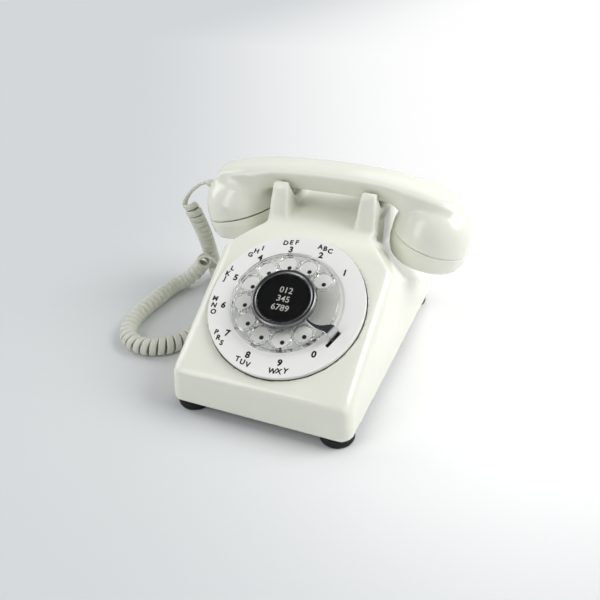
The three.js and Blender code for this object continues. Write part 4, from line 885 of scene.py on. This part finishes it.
def build_handle():
    valleys = handset_valleys()
    bm = carved(
        handle_bar(), *two_heads("UNION"), *two_heads("DIFFERENCE", HEAD_WALL),
        ("VOXEL", HANDLE_GRAIN),
    )
    # The heads run into the grip in a wide curve, while the grip's long edges stay crisp.
    softened(bm, 1, bm.verts[:])
    softened(bm, VALLEY_ROUNDS, [
        v for v in bm.verts if valleys.find(v.co)[2] < VALLEY_REACH
        and v.co.z < HANDLE_CREASE - handle_drop(v.co.x - HANDSET_X) - 1.6 * MM
    ])
    # The grip's two ends, above the seams.
    ends = [v for v in bm.verts if v.co.z > SEAM_Z + END_LIFT]
    for side in (RIGHT, LEFT):
        softened(bm, END_ROUNDS[side], [
            v for v in ends if side * (v.co.x - HANDSET_X) > side * END_START[side]
        ])
    # Each head's rim is made flat where its cap meets it.
    bm.normal_update()
    for side in (LEFT, RIGHT):
        place = head_matrix(side)
        normal = place.to_3x3() @ seam_normal(side)
        for vert in bm.verts:
            offset = vert.co - place.translation
            height = offset.dot(normal)
            if (offset.length < HEAD_RADIUS + 2 * MM and abs(height) < 1.5 * MM
                    and vert.normal.dot(normal) < -0.4):
                vert.co -= normal * height
    handle = object_of(bm, "handset_handle", "ivory", 60)
    place_piece(handle, "handset", "ivory_plastic", "handle")


def build_caps():
    for node in ("receiver_cap", "transmitter_cap"):
        low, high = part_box(node)
        side = side_of(low.x + high.x)
        bm = merged_copy(node)
        bmesh.ops.translate(bm, verts=bm.verts, vec=(0, 0, -HEAD_SINK[side] - CAP_GAP[side]))
        # The rims are rounded, while the small sound holes in the flat face stay as they are.
        weights = bm.edges.layers.float.new("bevel_weight_edge")
        to_axis = head_matrix(side).inverted()
        for edge in bm.edges:
            offset = to_axis @ ((edge.verts[0].co + edge.verts[1].co) / 2)
            sharp = len(edge.link_faces) == 2 and edge.calc_face_angle() > math.radians(30)
            edge[weights] = float(sharp and math.hypot(offset.x, offset.y) > CAP_SOUND_RADIUS)
        cap = object_of(bm, node + "_moulded", "ivory", 30)
        round_edges(cap, 0.5 * MM, 2, limit="WEIGHT")
        place_piece(cap, "handset", "ivory_plastic", node)


# ---- number plate and its printing
def ring_height(radius):
    """Height of the printed ring at a radius: it rises gently to its rim."""
    share = (radius - RING_INNER) / (PLATE_RADIUS - RING_INNER)
    return RING_INNER_HEIGHT + (RING_OUTER_HEIGHT - RING_INNER_HEIGHT) * share


def build_number_plate():
    edge, lip = RING_OUTER_HEIGHT, PLATE_RADIUS - PLATE_LIP
    outline = [
        (PLATE_BORE, -PLATE_THICKNESS),
        (DISH_RADIUS + 1 * MM, -PLATE_THICKNESS),
        (DISH_RADIUS + 3 * MM, RING_INNER_HEIGHT - PLATE_THICKNESS),
        (lip, edge - PLATE_THICKNESS),
        (lip, edge - PLATE_LIP_DEPTH),
        (PLATE_RADIUS, edge - PLATE_LIP_DEPTH),
        (PLATE_RADIUS, edge),
        (RING_INNER, RING_INNER_HEIGHT),
        (DISH_RADIUS, 0),
        (PLATE_BORE, 0),
    ]
    near, far = STOP_SLOT
    slot = bmesh.new()
    bmesh.ops.create_cube(slot, size=1)
    bmesh.ops.scale(slot, vec=(far - near, STOP_SLOT_WIDTH, 18 * MM), verts=slot.verts)
    bmesh.ops.translate(slot, vec=((near + far) / 2, 0, 0), verts=slot.verts)
    moved(slot, Matrix.Rotation(math.radians(STOP_ANGLE), 4, "Z"))
    bm = carved(turned(outline, 144, closed=True), ("DIFFERENCE", slot))
    plate = object_of(moved(bm, DIAL_MATRIX), "number_plate_moulded", "plate", 20)
    round_edges(plate, 0.35 * MM, 2, 25)
    place_piece(plate, "telephone", "printed_plate", "number_plate")


def type_of(text, size, boldness):
    """A word or digit as a flat bmesh, centred on the origin."""
    curve = bpy.data.curves.new("type", "FONT")
    curve.body = text
    curve.size = size
    curve.align_x = "CENTER"
    curve.align_y = "CENTER"
    curve.offset = boldness
    curve.resolution_u = 3
    curve.extrude = 0.02 * MM
    obj = bpy.data.objects.new("type", curve)
    bpy.context.scene.collection.objects.link(obj)
    depsgraph = bpy.context.evaluated_depsgraph_get()
    mesh = bpy.data.meshes.new_from_object(obj.evaluated_get(depsgraph))
    bm = bmesh.new()
    bm.from_mesh(mesh)
    bpy.data.objects.remove(obj)
    bpy.data.curves.remove(curve)
    bpy.data.meshes.remove(mesh)
    bmesh.ops.remove_doubles(bm, verts=bm.verts, dist=1e-6)
    spans = [[v.co[i] for v in bm.verts] for i in (0, 1)]
    x, y = ((min(span) + max(span)) / 2 for span in spans)
    bmesh.ops.translate(bm, verts=bm.verts, vec=(-x, -y, 0))
    return bm


def build_printing():
    size = sizes()
    sheet = bmesh.new()
    for i, (group, step, radius) in enumerate(LETTERS):
        angle = FIRST_HOLE + HOLE_PITCH * i
        digit = type_of(str((i + 1) % 10), size.digit_height, DIGIT_BOLD)
        place = polar(DIGIT_RADIUS if i else ONE_RADIUS, angle)
        merged_into(sheet, moved(digit, Matrix.Translation(place)))
        # Letters read from the left, so they run against the angle above the dial's middle.
        order = -1 if math.cos(math.radians(angle - 90)) > -0.1 and 0 < angle < 180 else 1
        for k, text in enumerate(group):
            place = polar(radius * MM, angle + order * (k - 1) * step)
            letter = type_of(text, size.letter_height, LETTER_BOLD)
            merged_into(sheet, moved(letter, Matrix.Translation(place)))
    for vert in sheet.verts:
        vert.co.z += ring_height(math.hypot(vert.co.x, vert.co.y)) + 0.03 * MM
    for i in range(HOLE_COUNT):
        dot = bmesh.new()
        bmesh.ops.create_cone(
            dot, cap_ends=True, cap_tris=False, segments=24, radius1=DOT_RADIUS,
            radius2=DOT_RADIUS - 0.05 * MM, depth=0.06 * MM,
        )
        merged_into(sheet, moved(dot, at_hole(i, 0.03 * MM)))
    bmesh.ops.recalc_face_normals(sheet, faces=sheet.faces)
    printing = object_of(moved(sheet, DIAL_MATRIX), "dial_printing", "ink", 30)
    place_piece(printing, "telephone", "printed_plate")


# ---- finger wheel, card and stop
def build_finger_wheel():
    """A clear disc with a rim, and a rounded collar round each finger hole."""
    low, high = WHEEL_UNDERSIDE + 0.6 * MM, WHEEL_TOP - 0.7 * MM
    web = turned([(WEB_INNER, low), (WEB_OUTER, low), (WEB_OUTER, high), (WEB_INNER, high)],
                 closed=True)
    rim = turned([
        (RIM_INNER, WHEEL_UNDERSIDE),
        (WHEEL_RADIUS - 0.6 * MM, WHEEL_UNDERSIDE),
        (WHEEL_RADIUS, WHEEL_UNDERSIDE + 0.7 * MM),
        (WHEEL_RADIUS, WHEEL_TOP - 0.7 * MM),
        (WHEEL_RADIUS - 0.6 * MM, WHEEL_TOP),
        (RIM_INNER, WHEEL_TOP),
    ], closed=True)
    inner, outer = HOLE_RADIUS - 0.4 * MM, HOLE_RADIUS + sizes().collar_width
    steps = [("UNION", rim)]
    for i in range(HOLE_COUNT):
        collar = turned([
            (inner, WHEEL_UNDERSIDE), (outer, WHEEL_UNDERSIDE), (outer, WHEEL_TOP - 0.5 * MM),
            (outer - 0.5 * MM, WHEEL_TOP), (inner, WHEEL_TOP),
        ], 40, closed=True)
        steps.append(("UNION", moved(collar, at_hole(i))))
    for i in range(HOLE_COUNT):
        hole = bmesh.new()
        bmesh.ops.create_cone(
            hole, cap_ends=True, segments=40, radius1=HOLE_RADIUS - 0.25 * MM,
            radius2=HOLE_RADIUS, depth=6 * MM,
        )
        place = at_hole(i, (WHEEL_UNDERSIDE + WHEEL_TOP) / 2)
        steps.append(("DIFFERENCE", moved(hole, place)))
    bm = carved(web, *steps)
    wheel = object_of(moved(bm, DIAL_MATRIX), "finger_wheel_moulded", "clear", 30)
    round_edges(wheel, 0.3 * MM, 2)
    place_piece(wheel, "dial_wheel", "clear_plastic", "finger_wheel")


def build_card():
    """The bezel, the black card with plain digits, and its clear window."""
    base = WHEEL_TOP + CARD_LIFT
    bezel = turned([
        (CARD_RADIUS - 0.8 * MM, base),
        (RETAINER_RADIUS, base),
        (RETAINER_RADIUS, base + 1 * MM),
        (RETAINER_RADIUS - 0.4 * MM, base + 2.4 * MM),
        (RETAINER_RADIUS - 0.9 * MM, base + 3.2 * MM),
        (RETAINER_RADIUS - 1.5 * MM, base + 3.6 * MM),
        (CARD_RADIUS + 0.9 * MM, base + 3.4 * MM),
        (CARD_RADIUS + 0.4 * MM, base + 3 * MM),
        (CARD_RADIUS + 0.3 * MM, base + 1.2 * MM),
        (CARD_RADIUS - 0.8 * MM, base + 1.2 * MM),
    ], closed=True)
    card = turned([
        (0, base + 1.5 * MM), (CARD_RADIUS, base + 1.5 * MM), (CARD_RADIUS, base + 2 * MM),
        (0, base + 2 * MM),
    ])
    digits = bmesh.new()
    for text, height in CARD_LINES:
        place = Matrix.Translation((0, height * MM, base + 2.03 * MM))
        merged_into(digits, moved(type_of(text, CARD_TYPE, CARD_BOLD), place))
    window = turned([
        (0, base + 2.3 * MM), (CARD_RADIUS, base + 2.3 * MM), (CARD_RADIUS, base + 2.8 * MM),
        (CARD_RADIUS - 0.4 * MM, base + 3 * MM), (0, base + 3 * MM),
    ])
    for bm, name, material, smooth_below, slot, *nodes in (
        (bezel, "card_bezel", "bezel", 40, "chrome", "card_retainer"),
        (card, "number_card_printed", "card", 30, "black_plastic", "number_card"),
        (digits, "number_card_digits", "card_ink", 30, "black_plastic"),
        (window, "card_window_clear", "clear", 15, "clear_plastic", "card_window"),
    ):
        piece = object_of(moved(bm, DIAL_MATRIX), name, material, smooth_below)
        place_piece(piece, "dial_wheel", slot, *nodes)


def build_finger_stop():
    """A narrow arm of bent sheet that widens, rolls over the wheel's rim and goes down into its
    slot."""
    course = curve_through([[value * MM for value in station] for station in STOP_COURSE], 6)
    bm = bmesh.new()
    rings = []
    for i, (radius, aside, height, half) in enumerate(course):
        before, after = course[max(i - 1, 0)], course[min(i + 1, len(course) - 1)]
        along = Vector((after[0] - before[0], 0, after[2] - before[2])).normalized()
        up = Vector((-along.z, 0, along.x)) * STOP_SHEET / 2
        middle = Vector((radius, aside, height))
        rings.append([
            bm.verts.new(middle + up * sign + Vector((0, half * edge, 0)))
            for sign, edge in ((1, -1), (1, 1), (-1, 1), (-1, -1))
        ])
    for one, two in zip(rings, rings[1:]):
        for k in range(4):
            bm.faces.new((one[k], one[(k + 1) % 4], two[(k + 1) % 4], two[k]))
    ends_closed(bm, rings)
    moved(bm, DIAL_MATRIX @ Matrix.Rotation(math.radians(STOP_ANGLE), 4, "Z"))
    stop = object_of(bm, "finger_stop_bent", "chrome", 40)
    round_edges(stop, 0.25 * MM, 2, 40)
    place_piece(stop, "telephone", "chrome", "finger_stop")


# ---- feet and small parts
def build_feet():
    for node in ("foot_front_left", "foot_front_right", "foot_rear_left", "foot_rear_right"):
        low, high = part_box(node)
        middle = (low + high) / 2
        radius, height = (high.x - low.x) / 2 - 0.6 * MM, high.z - low.z
        outline = [
            (0, 0.9 * MM), (radius * 0.45, 0.9 * MM), (radius * 0.5, 0),
            (radius - 1.8 * MM, 0), (radius - 0.8 * MM, 0.5 * MM),
            (radius - 0.2 * MM, 1.8 * MM), (radius, 3 * MM), (radius, height - 1.2 * MM),
            (radius - 0.7 * MM, height - 0.9 * MM), (radius - 0.7 * MM, height), (0, height),
        ]
        place = Matrix.Translation((middle.x, middle.y, low.z))
        foot = object_of(moved(turned(outline, 64), place), node + "_moulded", "rubber", 40)
        place_piece(foot, "telephone", "foot_rubber", node)


def build_small_parts():
    """Pieces that keep the CAD's shape: those in sight gain rounded edges, and those inside
    only a finish."""
    for node, material, body, slot, edge in (
        ("plunger_left", "milky", "left_plunger", "clear_plastic", 0.2),
        ("plunger_right", "milky", "right_plunger", "clear_plastic", 0.2),
        ("line_jack", "milky", "telephone", "clear_plastic", 0.25),
        ("volume_wheel", "black", "volume_control", "black_plastic", 0.2),
        ("base_plate", "steel", "telephone", "plated_steel", 0.25),
        ("housing_screw_front", "steel", "telephone", "plated_steel", 0.2),
        ("housing_screw_rear", "steel", "telephone", "plated_steel", 0.2),
    ):
        piece = object_of(merged_copy(node), node + "_finished", material)
        round_edges(piece, edge * MM, 2)
        place_piece(piece, body, slot, node)
    inside = {
        "steel": (
            "dial_frame", "governor_cup", "pulse_contacts", "dial_bracket_left",
            "dial_bracket_right", "main_shaft", "hook_lever", "hook_pin", "hookswitch_bracket",
            "hookswitch_contacts", "gong_post_left", "gong_post_right", "gong_screw_left",
            "gong_screw_right", "ringer_frame", "ringer_core", "clapper",
            "transmitter_capsule",
        ),
        "brass": (
            "main_gear", "intermediate_gear", "governor", "motor_spring_case", "gong_left",
            "gong_right", "network_terminals",
        ),
        "grey": ("network_block",),
        "winding": ("ringer_coil",),
        "black": ("receiver_capsule", "contact_cup"),
    }
    for material, nodes in inside.items():
        for node in nodes:
            dress(node, material)


# ---- stage
def direct_view(tree):
    """A node that gives 1 for what the camera sees itself, in a mirror or through glass, and 0
    for light on a matt surface."""
    path = add_node(tree, "LightPath")
    mirror = add_node(tree, "Math", {"operation": "MAXIMUM"}, {
        0: (path, "Is Camera Ray"), 1: (path, "Is Glossy Ray"),
    })
    return add_node(tree, "Math", {"operation": "MAXIMUM"}, {
        0: (mirror, "Value"), 1: (path, "Is Transmission Ray"),
    })


# The backdrop's material, whose tone is painted light falloff from grey to white.
def backdrop_with_painted_light():
    material, tree, place = new_material("backdrop_painted_light")
    split = add_node(tree, "SeparateXYZ", inputs={"Vector": (place, "Object")})
    # Painted light: the tone runs from grey at the left to white at the right, where the key lamp
    # stands, more slowly towards the back, and it is greyer towards the front.
    depth = add_node(tree, "Clamp", inputs={
        "Value": (split, "Y"), "Min": -0.5, "Max": 1.2,
    })
    left, right = (
        add_node(tree, "Math", {"operation": "MULTIPLY_ADD"}, {
            0: (depth, "Result"), 1: slope, 2: start,
        })
        for slope, start in ((-0.66, -0.2), (-0.2, 0.16))
    )
    across = add_node(tree, "MapRange", {"interpolation_type": "SMOOTHSTEP"}, {
        "Value": (split, "X"), "From Min": (left, "Value"), "From Max": (right, "Value"),
    })
    front = add_node(tree, "MapRange", {"interpolation_type": "SMOOTHSTEP"}, {
        "Value": (split, "Y"), "From Min": -0.28, "From Max": 0.02, "To Min": 0.2, "To Max": 1.0,
    })
    share = add_node(tree, "Math", {"operation": "MULTIPLY"}, {
        0: (across, "Result"), 1: (front, "Result"),
    })
    # The painted light falloff in two tones: one that the lamps light, and one that glows.
    painted_falloff, painted_glow = (
        add_node(tree, "Mix", {"data_type": "RGBA"}, {
            "Factor": (share, "Value"), 6: linear(grey), 7: linear("#FFFFFF"),
        })
        for grey in ("#DCDFE0", "#D3D7D9")
    )
    shader = add_node(tree, "BsdfPrincipled", inputs={
        "Base Color": (painted_falloff, 2), "Roughness": 0.75, "Specular IOR Level": 0.2,
    })
    # Away from the telephone the backdrop glows with the same painted light, grey at the left and
    # white at the right, which no lamp changes.
    air = add_node(tree, "Emission", inputs={"Color": (painted_glow, 2)})
    distance = add_node(tree, "VectorMath", {"operation": "LENGTH"}, {
        0: (place, "Object"),
    })
    away = add_node(tree, "MapRange", {"interpolation_type": "SMOOTHSTEP"}, {
        "Value": (distance, "Value"), "From Min": 0.13, "From Max": 0.38,
        "To Min": 0.0, "To Max": 1.0,
    })
    seen = add_node(tree, "Math", {"operation": "MULTIPLY"}, {
        0: (away, "Result"), 1: (direct_view(tree), "Value"),
    })
    both = add_node(tree, "MixShader", inputs={
        "Fac": (seen, "Value"), 1: (shader, "BSDF"), 2: (air, "Emission"),
    })
    add_node(tree, "OutputMaterial", inputs={"Surface": (both, "Shader")})
    return material


def build_backdrop():
    """A pale floor that runs up into a wall."""
    left, back = -FLOOR_HALF_WIDTH, FLOOR_BACK
    bm = bmesh.new()
    verts = [bm.verts.new((left, y, 0)) for y in (FLOOR_FRONT, back)]
    bm.edges.new(verts)
    bend = bmesh.ops.spin(
        bm, geom=[verts[1]], cent=(left, back, BEND_RADIUS), axis=(1, 0, 0), dvec=(0, 0, 0),
        angle=math.pi / 2, steps=16,
    )
    top = [v for v in bend["geom_last"] if isinstance(v, bmesh.types.BMVert)]
    wall = bmesh.ops.extrude_vert_indiv(bm, verts=top)["verts"]
    bmesh.ops.translate(bm, verts=wall, vec=(0, 0, WALL_HEIGHT))
    bmesh.ops.remove_doubles(bm, verts=bm.verts, dist=1e-5)
    grown = bmesh.ops.extrude_edge_only(bm, edges=bm.edges[:])["geom"]
    far_side = [v for v in grown if isinstance(v, bmesh.types.BMVert)]
    bmesh.ops.translate(bm, verts=far_side, vec=(2 * FLOOR_HALF_WIDTH, 0, 0))
    bmesh.ops.recalc_face_normals(bm, faces=bm.faces)
    floor = object_of(in_order(bm), "backdrop", None, 60)
    floor.data.materials.append(backdrop_with_painted_light())


def build_world():
    world = bpy.data.worlds.new("studio_air")
    bpy.context.scene.world = world
    world.use_nodes = True
    tree = world.node_tree
    tree.nodes.clear()
    air = add_node(tree, "Background", inputs={
        "Color": linear("#F6F8FA"), "Strength": WORLD_STRENGTH,
    })
    # Mirrors and clear plastic see a pale room with a dim ceiling.
    place = add_node(tree, "TexCoord")
    split = add_node(tree, "SeparateXYZ", inputs={"Vector": (place, "Generated")})
    height = add_node(tree, "MapRange", inputs={
        "Value": (split, "Z"), "From Min": 0.25, "From Max": 0.9,
    })
    tone = add_node(tree, "Mix", {"data_type": "RGBA"}, {
        "Factor": (height, "Result"), 6: linear("#F4F5F5"), 7: linear("#3C3D3F"),
    })
    room = add_node(tree, "Background", inputs={"Color": (tone, 2), "Strength": 1.0})
    either = add_node(tree, "MixShader", inputs={
        "Fac": (direct_view(tree), "Value"), 1: (air, "Background"), 2: (room, "Background"),
    })
    add_node(tree, "OutputWorld", inputs={"Surface": (either, "Shader")})


def build_lamps():
    for name, place, width, height, power in LAMPS:
        lamp = bpy.data.lights.new(name, "AREA")
        lamp.shape = "RECTANGLE"
        lamp.size = width
        lamp.size_y = height
        lamp.energy = power
        obj = bpy.data.objects.new(name, lamp)
        obj.location = place
        obj.rotation_euler = (LAMP_AIM - Vector(place)).to_track_quat("-Z", "Y").to_euler()
        bpy.context.scene.collection.objects.link(obj)


def build_camera():
    scene = bpy.context.scene
    scene.view_settings.view_transform = "Standard"
    camera = bpy.data.cameras.new("camera")
    camera.lens = LENS
    camera.sensor_width = SENSOR
    eye = bpy.data.objects.new("camera", camera)
    eye.matrix_world = Matrix.Translation(EYE) @ Matrix(EYE_AXES).transposed().to_4x4()
    scene.collection.objects.link(eye)
    scene.camera = eye


# ---- operators
class TELEPHONE_OT_stage(bpy.types.Operator):
    """Makes the materials, the backdrop, the lamps and the camera"""

    bl_idname = "telephone.stage"
    bl_label = "Stage"

    def execute(self, context):
        make_materials()
        build_backdrop()
        build_world()
        build_lamps()
        build_camera()
        return {"FINISHED"}


class TELEPHONE_OT_cord(bpy.types.Operator):
    """Winds the coiled handset cord"""

    bl_idname = "telephone.cord"
    bl_label = "Handset cord"

    def execute(self, context):
        build_cord()
        return {"FINISHED"}


class TELEPHONE_OT_housing(bpy.types.Operator):
    """Makes the moulded housing"""

    bl_idname = "telephone.housing"
    bl_label = "Housing"

    def execute(self, context):
        build_housing()
        return {"FINISHED"}


class TELEPHONE_OT_handset(bpy.types.Operator):
    """Makes the handset and its two caps"""

    bl_idname = "telephone.handset"
    bl_label = "Handset"

    def execute(self, context):
        build_handle()
        build_caps()
        return {"FINISHED"}


class TELEPHONE_OT_number_plate(bpy.types.Operator):
    """Makes the number plate with its printed digits and letters"""

    bl_idname = "telephone.number_plate"
    bl_label = "Number plate"

    def execute(self, context):
        build_number_plate()
        build_printing()
        return {"FINISHED"}


class TELEPHONE_OT_finger_wheel(bpy.types.Operator):
    """Makes the clear finger wheel, the card in its middle and the finger stop"""

    bl_idname = "telephone.finger_wheel"
    bl_label = "Finger wheel"

    def execute(self, context):
        build_finger_wheel()
        build_card()
        build_finger_stop()
        return {"FINISHED"}


class TELEPHONE_OT_small_parts(bpy.types.Operator):
    """Makes the feet, the buttons and the jack, and finishes the works inside"""

    bl_idname = "telephone.small_parts"
    bl_label = "Feet and small parts"

    def execute(self, context):
        build_feet()
        build_small_parts()
        return {"FINISHED"}


STEPS = (
    TELEPHONE_OT_stage,
    TELEPHONE_OT_cord,
    TELEPHONE_OT_housing,
    TELEPHONE_OT_handset,
    TELEPHONE_OT_number_plate,
    TELEPHONE_OT_finger_wheel,
    TELEPHONE_OT_small_parts,
)


class TELEPHONE_PT_panel(bpy.types.Panel):
    """Lists the telephone's sizes, colours and steps"""

    bl_idname = "TELEPHONE_PT_panel"
    bl_label = "Rotary telephone"
    bl_space_type = "VIEW_3D"
    bl_region_type = "UI"
    bl_category = "Telephone"

    def draw(self, context):
        for group in (context.scene.telephone_sizes, context.scene.telephone_colours):
            for name in group.__annotations__:
                self.layout.prop(group, name)
        for step in STEPS:
            self.layout.operator(step.bl_idname)


CLASSES = (TelephoneSizes, TelephoneColours, *STEPS, TELEPHONE_PT_panel)


def register():
    for cls in CLASSES:
        bpy.utils.register_class(cls)
    bpy.types.Scene.telephone_sizes = bpy.props.PointerProperty(type=TelephoneSizes)
    bpy.types.Scene.telephone_colours = bpy.props.PointerProperty(type=TelephoneColours)


def unregister():
    del bpy.types.Scene.telephone_colours
    del bpy.types.Scene.telephone_sizes
    for cls in reversed(CLASSES):
        bpy.utils.unregister_class(cls)


def main():
    register()
    bpy.ops.telephone.stage()
    bpy.ops.telephone.cord()
    bpy.ops.telephone.housing()
    bpy.ops.telephone.handset()
    bpy.ops.telephone.number_plate()
    bpy.ops.telephone.finger_wheel()
    bpy.ops.telephone.small_parts()


if __name__ == "__main__":
    main()
